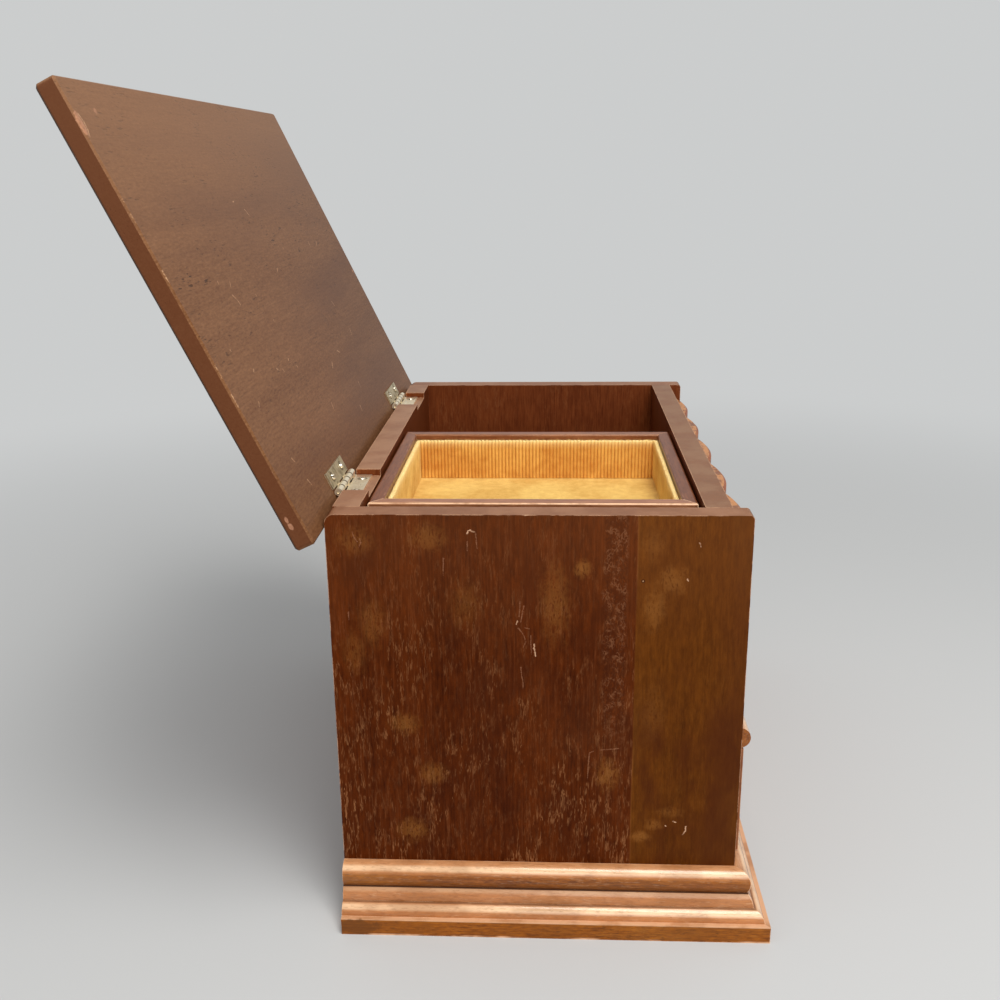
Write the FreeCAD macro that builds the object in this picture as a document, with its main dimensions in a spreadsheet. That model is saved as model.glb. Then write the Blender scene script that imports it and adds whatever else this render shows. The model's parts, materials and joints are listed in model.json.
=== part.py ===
import FreeCAD, Part
import math
import os
import re
import Sketcher
from FreeCAD import Placement, Rotation, Vector

# A wooden jewellery chest: a case with a reeded front, a lifting lid on two butt hinges,
# a lined tray that slides across the upper compartment, and one drawer below the ledge.
# Millimetres. X runs left to right along the front, Y from front to back, Z up.
# The origin is the centre of the base's footprint, at the surface the chest stands on.

# The driving sizes. Each one is written once, here.
SIZES = {
    # Case
    "case_wide": 326.6,
    "case_deep": 200.0,
    "case_tall": 220.0,
    "side_thick": 12.5,
    "corner_round": 4.5,
    "front_corner": 2.0,
    "back_thick": 13.0,
    "back_inset": 1.7,
    "front_thick": 12.8,
    "front_inset": 8.1,
    # Reeds on the front panel and the ledge that they stand on
    "reed_deep": 9.6,
    "reed_nose": 6.5,
    "reed_drop": 9.5,
    "reed_bevel": 1.3,
    "ledge_level": 104.5,
    "ledge_thick": 11.0,
    "ledge_out": 6.7,
    # Boards inside the case
    "floor_thick": 6.5,
    "floor_drop": 0.5,
    "cleat_wide": 9.0,
    "cleat_tall": 11.0,
    "deck_thick": 9.0,
    "plinth_thick": 9.0,
    "bottom_thick": 6.0,
    # Base moulding, from its flat top down to the band that stands on the table
    "base_tall": 33.3,
    "base_out": 16.6,
    "bead_out": 7.4,
    "bead_round": 5.6,
    "bead_foot": 6.0,
    "bead_low": 11.5,
    "quirk": 0.4,
    "ovolo_out": 9.0,
    "ovolo_low": 18.4,
    "step_out": 9.7,
    "round_out": 14.2,
    "band_tall": 9.2,
    # Lid: how far it reaches past the case, and its turn from closed
    "lid_side_over": 20.2,
    "lid_front_over": 15.2,
    "lid_back": 6.0,
    "lid_thick": 9.5,
    "lid_corner": 2.5,
    "lid_arris": 1.0,
    "lid_angle": 115.3,
    # Hinges
    "axis_behind": 0.8,
    "axis_below": 1.5,
    "hinge_inset": 47.8,
    "hinge_long": 38.0,
    "leaf_reach": 11.0,
    "leaf_thick": 1.0,
    "leaf_offset": 2.3,
    "barrel_round": 2.0,
    "pin_round": 0.9,
    "pin_clear": 0.05,
    "pin_short": 1.0,
    "knuckle_gap": 0.3,
    "plate_clear": 0.4,
    "mortise_clear": 0.75,
    # Countersunk wood screws of the hinges
    "screw_apart": 22.0,
    "screw_edge": 4.0,
    "screw_head": 1.7,
    "screw_shank": 0.9,
    "screw_long": 7.0,
    # Tray
    "tray_long": 151.0,
    "tray_left": 15.8,
    "tray_drop": 3.0,
    "tray_tall": 31.7,
    "tray_clear": 1.2,
    "tray_end": 8.0,
    "tray_side": 7.0,
    "tray_round": 1.2,
    "tray_ease": 0.7,
    "tray_bottom": 3.0,
    "tray_rebate": 4.0,
    "lining_wall": 2.2,
    "lining_floor": 1.7,
    "lining_drop": 3.5,
    "runner_wide": 6.0,
    "runner_tall": 9.0,
    "slide_gap": 0.3,
    # Drawer
    "drawer_proud": 3.5,
    "drawer_thick": 12.5,
    "drawer_gap": 0.5,
    "drawer_over": 1.0,
    "drawer_under": 0.7,
    "box_clear": 1.0,
    "box_tall": 52.0,
    "box_side": 7.0,
    "box_lap": 6.0,
    "box_groove": 3.5,
    "box_raise": 4.0,
    "box_bottom": 3.0,
    "box_lining": 1.2,
    # Turned knob
    "knob_long": 18.0,
    "knob_neck": 4.5,
    "knob_neck_long": 7.5,
    "knob_round": 9.0,
    "knob_bevel": 0.8,
    "bolt_shank": 2.0,
    "bolt_head": 3.6,
    "bolt_cap": 2.0,
    "bolt_bite": 12.0,
}

REEDS = 5
KNUCKLES = 5

doc = FreeCAD.newDocument("jewelry_chest")
sheet = doc.addObject("Spreadsheet::Sheet", "Sizes")
for row, (name, size) in enumerate(SIZES.items(), 1):
    sheet.set(f"A{row}", name)
    sheet.set(f"B{row}", str(size))
    sheet.setAlias(f"B{row}", name)
doc.recompute()

# Places that several pieces share, as expressions on the sizes.
FRONT = "(-(case_deep - base_out) / 2)"
BACK = "((case_deep + base_out) / 2)"
INNER = "(case_wide / 2 - side_thick)"
BACK_FACE = f"({BACK} - back_inset - back_thick)"
PANEL_FRONT = f"({FRONT} + front_inset)"
PANEL_BACK = f"({FRONT} + front_inset + front_thick)"
LEDGE_UNDER = "(ledge_level - ledge_thick)"
FLOOR_TOP = "(ledge_level - floor_drop)"
FLOOR_UNDER = f"({FLOOR_TOP} - floor_thick)"
AXIS_Y = f"({BACK} + axis_behind)"
AXIS_Z = "(case_tall - axis_below)"
HINGE_X = f"({INNER} - hinge_inset)"
LID_HALF = "(case_wide / 2 + lid_side_over)"
LID_LONG = "(case_deep + axis_behind + lid_front_over)"
TRAY_FOOT = "(case_tall - tray_drop - tray_tall)"
TRAY_FRONT = f"({PANEL_BACK} + tray_clear)"
TRAY_BACK = f"({BACK_FACE} - tray_clear)"
TRAY_MIDDLE_X = f"(tray_left + tray_long / 2 - {INNER})"
TRAY_MIDDLE_Y = f"(({TRAY_FRONT} + {TRAY_BACK}) / 2)"
TRAY_DEEP = f"({TRAY_BACK} - {TRAY_FRONT})"
DRAWER_FACE = f"({FRONT} - drawer_proud)"
DRAWER_REAR = f"({DRAWER_FACE} + drawer_thick)"
BOX_BACK = f"({BACK_FACE} - slide_gap)"
BOX_FOOT = "(base_tall + slide_gap)"
BOX_HALF = f"({INNER} - box_clear)"
KNOB_LEVEL = f"((base_tall + drawer_under + {LEDGE_UNDER} - drawer_over) / 2)"

WORDS = re.compile(r"\b(" + "|".join(sorted(SIZES, key=len, reverse=True)) + r")\b")


def formula(text):
    """The expression with each size named by its cell."""
    return WORDS.sub(r"Sizes.\1", str(text))


def value(text):
    """The expression's present value."""
    result = sheet.evalExpression(formula(text))
    return getattr(result, "Value", result)


def bind(thing, **sizes):
    for name, text in sizes.items():
        thing.setExpression(name, formula(text))


def place(thing, x="0", y="0", z="0", axis=None, angle="0"):
    """Put a piece at a place, turned about an axis through its own origin."""
    if axis is not None:
        thing.Placement = Placement(Vector(0, 0, 0), Rotation(axis, value(angle)))
        thing.setExpression("Placement.Rotation.Angle", formula(f"({angle}) * 1 deg"))
        thing.Placement = Placement(Vector(0, 0, 0), Rotation(axis, value(angle)))
    for side, text in zip("xyz", (x, y, z)):
        thing.setExpression(f"Placement.Base.{side}", formula(text))
    return thing


PIECES = []


def piece(thing, label):
    thing.Label = label
    PIECES.append(thing)
    return thing


def block(label, x, y, z, long, deep, tall):
    """A plain board, given by its lowest corner and its three sizes."""
    board = doc.addObject("Part::Box", label)
    bind(board, Length=long, Width=deep, Height=tall)
    place(board, x, y, z)
    return board


# Sketches and features

ACROSS, SIDEWAYS, FLAT = "XZ_Plane", "YZ_Plane", "XY_Plane"


def sketch_on(body, plane, name):
    sketch = body.newObject("Sketcher::SketchObject", name)
    support = [part for part in body.Origin.OriginFeatures if part.Role == plane]
    sketch.AttachmentSupport = [(support[0], "")]
    sketch.MapMode = "FlatFace"
    return sketch


def tie(sketch, kind, *where, to):
    """A dimension of the sketch, bound to the sizes."""
    number = sketch.addConstraint(Sketcher.Constraint(kind, *where, value(to)))
    sketch.setExpression(f"Constraints[{number}]", formula(to))


def centre_of(start, end, rule):
    """Centre of an arc that leaves, or arrives, square to a level or plumb line."""
    (a, b), (c, d) = start, end
    if rule == "level start":
        return (((c * c - a * a) + (d - b) ** 2) / (2 * (c - a)), b)
    if rule == "level end":
        return (((c * c - a * a) - (d - b) ** 2) / (2 * (c - a)), d)
    return (a, ((d * d - b * b) + (c - a) ** 2) / (2 * (d - b)))


def outline(sketch, corners):
    """A closed outline. Each corner holds its two places and how the side after it runs:
    "line", or an arc whose centre is level or plumb with its start or its end."""
    first = sketch.GeometryCount
    spots = [(value(x), value(y)) for x, y, _ in corners]
    ends = []
    for i, (_, _, rule) in enumerate(corners):
        start, end = spots[i], spots[(i + 1) % len(spots)]
        if rule == "line":
            sketch.addGeometry(Part.LineSegment(Vector(*start, 0), Vector(*end, 0)))
            ends.append((1, 2))
            continue
        middle = centre_of(start, end, rule)
        radius = math.dist(start, middle)
        turns = [math.atan2(p[1] - middle[1], p[0] - middle[0]) for p in (start, end)]
        forward = math.sin(turns[1] - turns[0]) > 0
        if not forward:
            turns.reverse()
        if turns[1] < turns[0]:
            turns[1] += 2 * math.pi
        circle = Part.Circle(Vector(*middle, 0), Vector(0, 0, 1), radius)
        sketch.addGeometry(Part.ArcOfCircle(circle, *turns))
        ends.append((1, 2) if forward else (2, 1))
    for i, (x, y, rule) in enumerate(corners):
        side, follows = first + i, first + (i + 1) % len(corners)
        begin, finish = ends[i]
        sketch.addConstraint(
            Sketcher.Constraint("Coincident", side, finish, follows, ends[(i + 1) % len(corners)][0])
        )
        tie(sketch, "DistanceX", -1, 1, side, begin, to=x)
        tie(sketch, "DistanceY", -1, 1, side, begin, to=y)
        if rule == "level start":
            sketch.addConstraint(Sketcher.Constraint("Horizontal", side, 3, side, begin))
        elif rule == "level end":
            sketch.addConstraint(Sketcher.Constraint("Horizontal", side, 3, side, finish))
        elif rule == "plumb start":
            sketch.addConstraint(Sketcher.Constraint("Vertical", side, 3, side, begin))


def rectangle(sketch, left, low, right, high):
    outline(sketch, [(left, low, "line"), (right, low, "line"),
                     (right, high, "line"), (left, high, "line")])


def circle(sketch, x, y, radius):
    number = sketch.GeometryCount
    sketch.addGeometry(Part.Circle(Vector(value(x), value(y), 0), Vector(0, 0, 1), value(radius)))
    tie(sketch, "DistanceX", -1, 1, number, 3, to=x)
    tie(sketch, "DistanceY", -1, 1, number, 3, to=y)
    tie(sketch, "Radius", number, to=radius)


def body_named(label):
    return doc.addObject("PartDesign::Body", label)


def pad(body, sketch, length, middle=False, flip=False):
    feature = body.newObject("PartDesign::Pad", "Pad")
    feature.Profile = sketch
    bind(feature, Length=length)
    feature.Midplane = middle
    feature.Reversed = flip
    doc.recompute()
    return feature


def pocket(body, sketch, length=None, flip=False):
    """Cut the sketch right through, or to a depth, and make sure that it cuts something."""
    before = body.Shape.Volume
    feature = body.newObject("PartDesign::Pocket", "Pocket")
    feature.Profile = sketch
    if length is None:
        feature.Type = "ThroughAll"
        feature.Midplane = True
    else:
        bind(feature, Length=length)
        feature.Reversed = flip
    doc.recompute()
    if not body.Shape.Volume < before - 1e-6:
        raise ValueError(f"{body.Label}: the pocket of {sketch.Name} cuts nothing")
    return feature


def soften(body, kind, size, chosen):
    """Round or bevel the edges that the rule picks by their middle point."""
    base = body.Tip
    names = []
    for number, edge in enumerate(base.Shape.Edges, 1):
        halfway = edge.valueAt((edge.FirstParameter + edge.LastParameter) / 2)
        if chosen(halfway, edge):
            names.append(f"Edge{number}")
    if not names:
        raise ValueError(f"{body.Label}: no edge to soften")
    feature = body.newObject(f"PartDesign::{kind}", kind)
    feature.Base = (base, names)
    bind(feature, **{"Radius" if kind == "Fillet" else "Size": size})
    doc.recompute()
    return feature


def round_edges(body, radius, chosen):
    return soften(body, "Fillet", radius, chosen)


def bevel_edges(body, size, chosen):
    return soften(body, "Chamfer", size, chosen)


def near(one, other):
    return abs(one - other) < 1e-4


def mirrored(source, label):
    """The same piece on the other side of the chest's middle."""
    copy = doc.addObject("Part::Mirroring", label)
    copy.Source = source
    copy.Normal = Vector(1, 0, 0)
    return piece(copy, label)


# Case: side panels, back and front

left_panel = body_named("side_panel_left")
board = sketch_on(left_panel, SIDEWAYS, "side_board")
rectangle(board, FRONT, "0", BACK, "case_tall")
pad(left_panel, board, "side_thick")
for radius, end in (("corner_round", BACK), ("front_corner", FRONT)):
    round_edges(
        left_panel, radius,
        lambda spot, edge: near(spot.z, value("case_tall")) and near(spot.y, value(end)),
    )
place(left_panel, x="-case_wide / 2")
piece(left_panel, "side_panel_left")
mirrored(left_panel, "side_panel_right")

back_panel = body_named("back_panel")
board = sketch_on(back_panel, ACROSS, "back_board")
rectangle(board, f"-{INNER}", "0", INNER, "case_tall")
pad(back_panel, board, "back_thick", flip=True)
mortise = sketch_on(back_panel, ACROSS, "hinge_mortises")
for side in ("-1", "1"):
    rectangle(
        mortise,
        f"{side} * {HINGE_X} - hinge_long / 2 - mortise_clear",
        f"{AXIS_Z} - leaf_offset",
        f"{side} * {HINGE_X} + hinge_long / 2 + mortise_clear",
        "case_tall + 1",
    )
pocket(back_panel, mortise)
pilots = sketch_on(back_panel, FLAT, "pilot_holes")
pilots.AttachmentOffset.Base = Vector(0, 0, 0)
pilots.setExpression("AttachmentOffset.Base.z", formula(f"{AXIS_Z} - leaf_offset"))
SCREW_Y = f"({AXIS_Y} - leaf_reach + screw_edge)"
SCREW_XS = [f"({side} * {HINGE_X} {step} screw_apart / 2)" for side in ("-1", "1") for step in "-+"]
for x in SCREW_XS:
    circle(pilots, x, f"{SCREW_Y} - {BACK_FACE}", "screw_shank")
doc.recompute()
pocket(back_panel, pilots, "screw_long - leaf_thick")
place(back_panel, y=BACK_FACE)
piece(back_panel, "back_panel")

piece(block(
    "front_panel", f"-{INNER}", PANEL_FRONT, "ledge_level",
    f"2 * {INNER}", "front_thick", "case_tall - ledge_level",
), "front_panel")

# Reeds: a low rounded profile of three arcs, standing on the ledge. The small arcs at its sides
# and the wide one across it meet tangent.
REED_HALF = f"({INNER} / {REEDS})"


def reed(label, number):
    body = body_named(label)
    profile = sketch_on(body, FLAT, "reed_profile")
    half, deep, nose = value(REED_HALF), value("reed_deep"), value("reed_nose")
    inner = half - nose
    crown = (inner ** 2 + deep ** 2 - nose ** 2) / (2 * (deep - nose))
    swing = math.atan2(inner, crown - deep)
    place_of_nose = [Vector(-inner, 0, 0), Vector(inner, 0, 0)]
    up = Vector(0, 0, 1)
    profile.addGeometry(Part.LineSegment(Vector(half, 0, 0), Vector(-half, 0, 0)))
    left = Part.Circle(place_of_nose[0], up, nose)
    profile.addGeometry(Part.ArcOfCircle(left, math.pi, 1.5 * math.pi - swing))
    wide = Part.Circle(Vector(0, crown - deep, 0), up, crown)
    profile.addGeometry(Part.ArcOfCircle(wide, 1.5 * math.pi - swing, 1.5 * math.pi + swing))
    right = Part.Circle(place_of_nose[1], up, nose)
    profile.addGeometry(Part.ArcOfCircle(right, 1.5 * math.pi + swing, 2 * math.pi))
    rules = Sketcher.Constraint
    profile.addConstraint(rules("Coincident", 0, 2, 1, 1))
    profile.addConstraint(rules("Coincident", 3, 2, 0, 1))
    profile.addConstraint(rules("Tangent", 1, 2, 2, 1))
    profile.addConstraint(rules("Tangent", 2, 2, 3, 1))
    profile.addConstraint(rules("PointOnObject", 1, 3, -1))
    profile.addConstraint(rules("PointOnObject", 3, 3, -1))
    profile.addConstraint(rules("PointOnObject", 2, 3, -2))
    tie(profile, "DistanceX", -1, 1, 0, 1, to=REED_HALF)
    profile.addConstraint(rules("PointOnObject", 0, 1, -1))
    profile.addConstraint(rules("PointOnObject", 0, 2, -1))
    tie(profile, "Radius", 1, to="reed_nose")
    tie(profile, "Radius", 3, to="reed_nose")
    crest = profile.addGeometry(Part.Point(Vector(0, -deep, 0)), True)
    profile.addConstraint(rules("PointOnObject", crest, 1, 2))
    profile.addConstraint(rules("PointOnObject", crest, 1, -2))
    tie(profile, "DistanceY", -1, 1, crest, 1, to="-reed_deep")
    pad(body, profile, "case_tall - reed_drop - ledge_level")
    top = value("case_tall - reed_drop - ledge_level")
    bevel_edges(body, "reed_bevel", lambda spot, edge: near(spot.z, top) and spot.y < -0.01)
    place(body, x=f"{2 * number + 1 - REEDS} * {REED_HALF}", y=PANEL_FRONT, z="ledge_level")
    piece(body, label)


for number in range(REEDS):
    reed(f"front_reed_{number + 1}", number)

# Ledge: a rail with a half-round nose under the reeds
ledge = body_named("ledge_rail")
nose = sketch_on(ledge, SIDEWAYS, "nose_profile")
LEDGE_TIP = f"({FRONT} - ledge_out)"
outline(nose, [
    (PANEL_BACK, "ledge_level", "line"),
    (f"{LEDGE_TIP} + ledge_thick / 2", "ledge_level", "plumb start"),
    (LEDGE_TIP, "ledge_level - ledge_thick / 2", "level start"),
    (f"{LEDGE_TIP} + ledge_thick / 2", LEDGE_UNDER, "line"),
    (PANEL_BACK, LEDGE_UNDER, "line"),
])
pad(ledge, nose, f"2 * {INNER}", middle=True)
piece(ledge, "ledge_rail")

# Boards inside the case
piece(block(
    "compartment_floor", f"-{INNER}", PANEL_BACK, FLOOR_UNDER,
    f"2 * {INNER}", f"{BACK_FACE} - {PANEL_BACK}", "floor_thick",
), "compartment_floor")
cleat = piece(block(
    "floor_cleat_left", f"-{INNER}", PANEL_BACK, f"{FLOOR_UNDER} - cleat_tall",
    "cleat_wide", f"{BACK_FACE} - {PANEL_BACK}", "cleat_tall",
), "floor_cleat_left")
mirrored(cleat, "floor_cleat_right")
piece(block(
    "drawer_deck", f"-{INNER}", FRONT, "base_tall - deck_thick",
    f"2 * {INNER}", f"{BACK_FACE} - {FRONT}", "deck_thick",
), "drawer_deck")
piece(block(
    "plinth_rail", f"-{INNER}", FRONT, "bottom_thick",
    f"2 * {INNER}", "plinth_thick", "base_tall - deck_thick - bottom_thick",
), "plinth_rail")
piece(block(
    "bottom_panel", f"-{INNER}", FRONT, "0",
    f"2 * {INNER}", f"{BACK_FACE} - {FRONT}", "bottom_thick",
), "bottom_panel")
for name, start in (("tray_runner_front", PANEL_BACK), ("tray_runner_back", f"{BACK_FACE} - runner_wide")):
    piece(block(
        name, f"-{INNER}", start, f"{TRAY_FOOT} - slide_gap - runner_tall",
        f"2 * {INNER}", "runner_wide", "runner_tall",
    ), name)

# Base moulding: one profile, run along the front and both sides and mitred at the front corners.
# In a length of it X runs along, Y points out of the case and Z is up.
MOULDING = [
    ("0", "0", "line"),
    ("base_out", "0", "line"),
    ("base_out", "band_tall", "line"),
    ("round_out", "band_tall", "level start"),
    ("step_out", "base_tall - ovolo_low", "line"),
    ("ovolo_out", "base_tall - ovolo_low", "level start"),
    ("bead_foot + quirk", "base_tall - bead_low - quirk", "line"),
    ("bead_foot", "base_tall - bead_low", "level end"),
    ("bead_out", "base_tall - bead_round", "level start"),
    ("bead_out - bead_round", "base_tall", "line"),
    ("0", "base_tall", "line"),
]


def moulding(label, inside, left_mitre, right_mitre):
    """A length of base moulding whose back is as long as the face it covers."""
    body = body_named(label)
    profile = sketch_on(body, SIDEWAYS, "profile")
    outline(profile, MOULDING)
    extra_left = "base_out" if left_mitre else "0"
    extra_right = "base_out" if right_mitre else "0"
    pad(body, profile, f"{inside} + {extra_left} + {extra_right}")
    cut = sketch_on(body, FLAT, "mitres")
    if left_mitre:
        outline(cut, [("0", "0", "line"), ("base_out", "0", "line"), ("0", "base_out", "line")])
    if right_mitre:
        reach = f"{inside} + {extra_left}"
        outline(cut, [
            (reach, "0", "line"),
            (f"{reach} + base_out", "0", "line"),
            (f"{reach} + base_out", "base_out", "line"),
        ])
    pocket(body, cut)
    return body


front_moulding = moulding("base_moulding_front", "case_wide", True, True)
place(front_moulding, x="case_wide / 2 + base_out", y=FRONT, axis=Vector(0, 0, 1), angle="180")
piece(front_moulding, "base_moulding_front")
left_moulding = moulding("base_moulding_left", "case_deep", True, False)
place(left_moulding, x="-case_wide / 2", y=f"{FRONT} - base_out", axis=Vector(0, 0, 1), angle="90")
piece(left_moulding, "base_moulding_left")
mirrored(left_moulding, "base_moulding_right")

# Hinges. A leaf is drawn about the hinge's axis, with the plate on the side that up says.
KNUCKLE = f"(hinge_long / {KNUCKLES})"
PLATE_END = "(barrel_round + plate_clear)"


def leaf(label, up, first, count):
    """One leaf: its plate, its own knuckles in line, the pin's bore and two countersunk holes,
    each as wide as a screw's head on the inner face and as its shank on the outer one."""
    body = body_named(label)
    far = f"({up} * leaf_offset)"
    close = f"({up} * (leaf_offset - leaf_thick))"
    low, high = (far, close) if up == "-1" else (close, far)
    plate = sketch_on(body, SIDEWAYS, "plate")
    rectangle(plate, "-leaf_reach", low, f"-{PLATE_END}", high)
    pad(body, plate, "hinge_long", middle=True)
    start = f"(-hinge_long / 2 + {first} * {KNUCKLE} + knuckle_gap / 2)"
    features = []
    for name in ("tab", "barrel"):
        shape = sketch_on(body, SIDEWAYS, name)
        shape.setExpression("AttachmentOffset.Base.z", formula(start))
        if name == "tab":
            rectangle(shape, f"-{PLATE_END} - leaf_thick / 2", low, "0", high)
        else:
            circle(shape, "0", "0", "barrel_round")
        doc.recompute()
        features.append(pad(body, shape, f"{KNUCKLE} - knuckle_gap"))
    row = body.newObject("PartDesign::LinearPattern", "knuckles")
    row.Originals = features
    along = [part for part in body.Origin.OriginFeatures if part.Role == "X_Axis"]
    row.Direction = (along[0], [""])
    bind(row, Length=f"{2 * (count - 1)} * {KNUCKLE}")
    row.Occurrences = count
    body.Tip = row
    doc.recompute()
    bore = sketch_on(body, SIDEWAYS, "bore")
    circle(bore, "0", "0", "pin_round + pin_clear")
    pocket(body, bore)
    for step in ("-1", "1"):
        hole = body.newObject("PartDesign::SubtractiveCone", "screw_hole")
        bind(hole, Radius1="screw_head", Radius2="screw_shank", Height="leaf_thick")
        turned = "0" if up == "1" else "180"
        place(hole, f"{step} * screw_apart / 2", "screw_edge - leaf_reach", close,
              axis=Vector(1, 0, 0), angle=turned)
        doc.recompute()
    return body


def hinge_x(side):
    return f"{side} * {HINGE_X}"


def on_lid(thing, x="0"):
    """Placed with the lid: about the hinge's axis, open."""
    return place(thing, x, AXIS_Y, AXIS_Z, axis=Vector(1, 0, 0), angle="-lid_angle")


def screw(label, x, y, up):
    """A countersunk wood screw, its head flush with the leaf's inner face."""
    head = doc.addObject("Part::Cone", f"{label}_head")
    bind(head, Radius1="screw_head", Radius2="screw_shank", Height="leaf_thick")
    shank = doc.addObject("Part::Cylinder", f"{label}_shank")
    bind(shank, Radius="screw_shank", Height="screw_long - leaf_thick")
    turned = "0" if up == "1" else "180"
    place(head, x, y, f"{up} * (leaf_offset - leaf_thick)", axis=Vector(1, 0, 0), angle=turned)
    place(shank, x, y, f"{up} * leaf_offset", axis=Vector(1, 0, 0), angle=turned)
    whole = doc.addObject("Part::Fuse", label)
    whole.Base = head
    whole.Tool = shank
    return whole


def screws(label, up):
    group = doc.addObject("Part::Compound", label)
    group.Links = [
        screw(f"{label}_{number}", x, "screw_edge - leaf_reach", up)
        for number, x in enumerate(SCREW_XS)
    ]
    return piece(group, label)


for word, side in (("left", "-1"), ("right", "1")):
    fixed = leaf(f"hinge_{word}_fixed_leaf", "-1", 0, (KNUCKLES + 1) // 2)
    place(fixed, hinge_x(side), AXIS_Y, AXIS_Z)
    piece(fixed, f"hinge_{word}_fixed_leaf")
    moving = leaf(f"hinge_{word}_moving_leaf", "1", 1, KNUCKLES // 2)
    on_lid(moving, hinge_x(side))
    piece(moving, f"hinge_{word}_moving_leaf")
    pin = doc.addObject("Part::Cylinder", f"hinge_{word}_pin")
    bind(pin, Radius="pin_round", Height="hinge_long - 2 * pin_short")
    place(
        pin, f"{hinge_x(side)} - hinge_long / 2 + pin_short", AXIS_Y, AXIS_Z,
        axis=Vector(0, 1, 0), angle="90",
    )
    piece(pin, f"hinge_{word}_pin")

place(screws("fixed_leaf_screws", "-1"), y=AXIS_Y, z=AXIS_Z)
on_lid(screws("moving_leaf_screws", "1"))

# Lid: one board, drawn closed about the hinge's axis and then opened
lid = body_named("lid_panel")
board = sketch_on(lid, FLAT, "lid_board")
board.setExpression("AttachmentOffset.Base.z", formula("leaf_offset"))
rectangle(board, f"-{LID_HALF}", f"-{LID_LONG}", LID_HALF, "lid_back")
doc.recompute()
pad(lid, board, "lid_thick")
round_edges(
    lid, "lid_corner",
    lambda spot, edge: near(spot.z, value("leaf_offset + lid_thick / 2")) and near(abs(spot.x), value(LID_HALF)),
)
bevel_edges(lid, "lid_arris", lambda spot, edge: not near(spot.z, value("leaf_offset + lid_thick / 2")))
holes = sketch_on(lid, FLAT, "pilot_holes")
holes.setExpression("AttachmentOffset.Base.z", formula("leaf_offset"))
for x in SCREW_XS:
    circle(holes, x, "screw_edge - leaf_reach", "screw_shank")
doc.recompute()
pocket(lid, holes, "screw_long - leaf_thick", flip=True)
on_lid(lid)
piece(lid, "lid_panel")

# Tray: four mitred walls round a rebated bottom, lined inside.
# In a wall X runs along it, Y points out of the tray and Z is up.


def tray_wall(label, long, thick):
    body = body_named(label)
    section = sketch_on(body, SIDEWAYS, "section")
    outline(section, [
        ("0", "0", "line"),
        ("0", "tray_tall", "line"),
        (f"-{thick}", "tray_tall", "line"),
        (f"-{thick}", "tray_bottom", "line"),
        (f"tray_rebate - {thick}", "tray_bottom", "line"),
        (f"tray_rebate - {thick}", "0", "line"),
    ])
    pad(body, section, long, middle=True)
    top = value("tray_tall")
    round_edges(body, "tray_round", lambda spot, edge: near(spot.z, top) and near(spot.x, 0) and near(spot.y, 0))
    inside = -value(thick)
    bevel_edges(body, "tray_ease", lambda spot, edge: near(spot.z, top) and near(spot.y, inside))
    return body


def tray_mitre(body, long, thick, other):
    """The wall's ends, cut along the line from the tray's corner to the inner corner."""
    cut = sketch_on(body, FLAT, "mitres")
    for side in ("-1", "1"):
        outline(cut, [
            (f"{side} * ({long}) / 2", "0", "line"),
            (f"{side} * (({long}) / 2 - {other})", f"-{thick}", "line"),
            (f"{side} * (({long}) / 2 - {other})", f"-{thick} - 1", "line"),
            (f"{side} * (({long}) / 2 + 1)", f"-{thick} - 1", "line"),
            (f"{side} * (({long}) / 2 + 1)", "0", "line"),
        ])
    pocket(body, cut)


for label, long, thick, other, x, y, turn in (
    ("tray_side_front", "tray_long", "tray_side", "tray_end", TRAY_MIDDLE_X, TRAY_FRONT, "180"),
    ("tray_side_back", "tray_long", "tray_side", "tray_end", TRAY_MIDDLE_X, TRAY_BACK, "0"),
    ("tray_end_left", TRAY_DEEP, "tray_end", "tray_side", f"tray_left - {INNER}", TRAY_MIDDLE_Y, "90"),
    ("tray_end_right", TRAY_DEEP, "tray_end", "tray_side", f"tray_left - {INNER} + tray_long", TRAY_MIDDLE_Y, "-90"),
):
    wall = tray_wall(label, long, thick)
    tray_mitre(wall, long, thick, other)
    place(wall, x, y, TRAY_FOOT, axis=Vector(0, 0, 1), angle=turn)
    piece(wall, label)

HALF_LONG = "(tray_long / 2 - tray_end)"
HALF_DEEP = f"({TRAY_DEEP} / 2 - tray_side)"
piece(block(
    "tray_bottom",
    f"{TRAY_MIDDLE_X} - {HALF_LONG} - tray_rebate",
    f"{TRAY_MIDDLE_Y} - {HALF_DEEP} - tray_rebate",
    TRAY_FOOT,
    f"2 * ({HALF_LONG} + tray_rebate)",
    f"2 * ({HALF_DEEP} + tray_rebate)",
    "tray_bottom",
), "tray_bottom")
piece(block(
    "tray_floor_lining",
    f"{TRAY_MIDDLE_X} - {HALF_LONG}",
    f"{TRAY_MIDDLE_Y} - {HALF_DEEP}",
    f"{TRAY_FOOT} + tray_bottom",
    f"2 * {HALF_LONG}",
    f"2 * {HALF_DEEP}",
    "lining_floor",
), "tray_floor_lining")
lining = body_named("tray_wall_lining")
ring = sketch_on(lining, FLAT, "ring")
rectangle(ring, f"-{HALF_LONG}", f"-{HALF_DEEP}", HALF_LONG, HALF_DEEP)
rectangle(
    ring, f"lining_wall - {HALF_LONG}", f"lining_wall - {HALF_DEEP}",
    f"{HALF_LONG} - lining_wall", f"{HALF_DEEP} - lining_wall",
)
pad(lining, ring, "tray_tall - tray_bottom - lining_floor - lining_drop")
place(lining, TRAY_MIDDLE_X, TRAY_MIDDLE_Y, f"{TRAY_FOOT} + tray_bottom + lining_floor")
piece(lining, "tray_wall_lining")

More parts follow.
